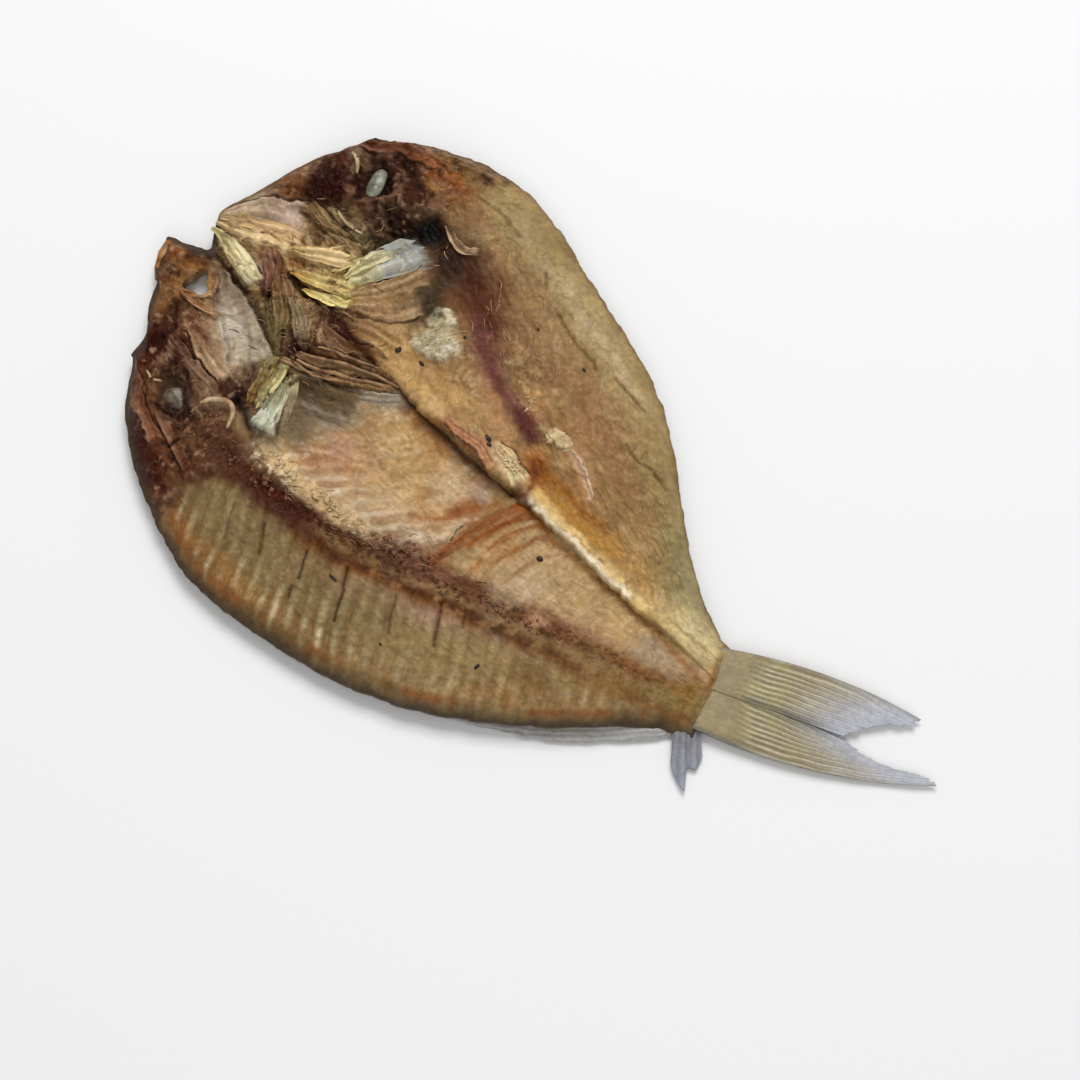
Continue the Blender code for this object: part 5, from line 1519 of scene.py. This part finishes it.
stage = {"floor": (0.9, 0.9, 0.9), "ambient": 0.42, "key": 17.0, "fill": 5.0}
floorShape = bmesh.new()
bmesh.ops.create_grid(floorShape, x_segments=2, y_segments=2, size=3.0)
floorMesh = bpy.data.meshes.new("floor")
floorShape.to_mesh(floorMesh)
floorShape.free()
floorFinish = Finish("pale floor", Base_Color=(*stage["floor"], 1.0), Roughness=0.9)
floor = newObject("floor", floorMesh, [floorFinish.material])


def softLight(name, place, size, power, aim=(0, 0, 0)):
    light = bpy.data.lights.new(name, "AREA")
    light.size, light.energy = size, power
    made = bpy.data.objects.new(name, light)
    made.location = place
    made.rotation_mode = "QUATERNION"
    made.rotation_quaternion = (Vector(place) - Vector(aim)).to_track_quat("Z", "Y")
    collection.objects.link(made)


softLight("key", (-0.55, 0.75, 1.35), 0.9, stage["key"])
softLight("fill", (0.9, -0.7, 1.1), 1.2, stage["fill"])
world = bpy.data.worlds.new("studio")
bpy.context.scene.world = world
world.use_nodes = True
world.node_tree.nodes["Background"].inputs["Color"].default_value = (1.0, 1.0, 1.0, 1.0)
world.node_tree.nodes["Background"].inputs["Strength"].default_value = stage["ambient"]
bpy.context.scene.view_settings.view_transform = "Standard"
bpy.context.scene.view_settings.look = "None"

view = {"azimuth": 35.5, "elevation": 66.0, "distance": 0.76, "from": (-0.00723, 0.08049, 0.0),
        "aim": (0.008, -0.004, 0.0), "lens": 78.0}
az, el = math.radians(view["azimuth"]), math.radians(view["elevation"])
back = Vector((math.sin(az) * math.cos(el), -math.cos(az) * math.cos(el), math.sin(el)))
place = Vector(view["from"]) + back * view["distance"]
camera = bpy.data.objects.new("camera", bpy.data.cameras.new("camera"))
camera.data.lens = view["lens"]
camera.data.sensor_width = 36.0
camera.location = place
camera.rotation_mode = "QUATERNION"
camera.rotation_quaternion = (place - Vector(view["aim"])).to_track_quat("Z", "Y")
collection.objects.link(camera)
bpy.context.scene.camera = camera
print("stage set")

for piece in pieces:
    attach(piece, "root")
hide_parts("split_fish")
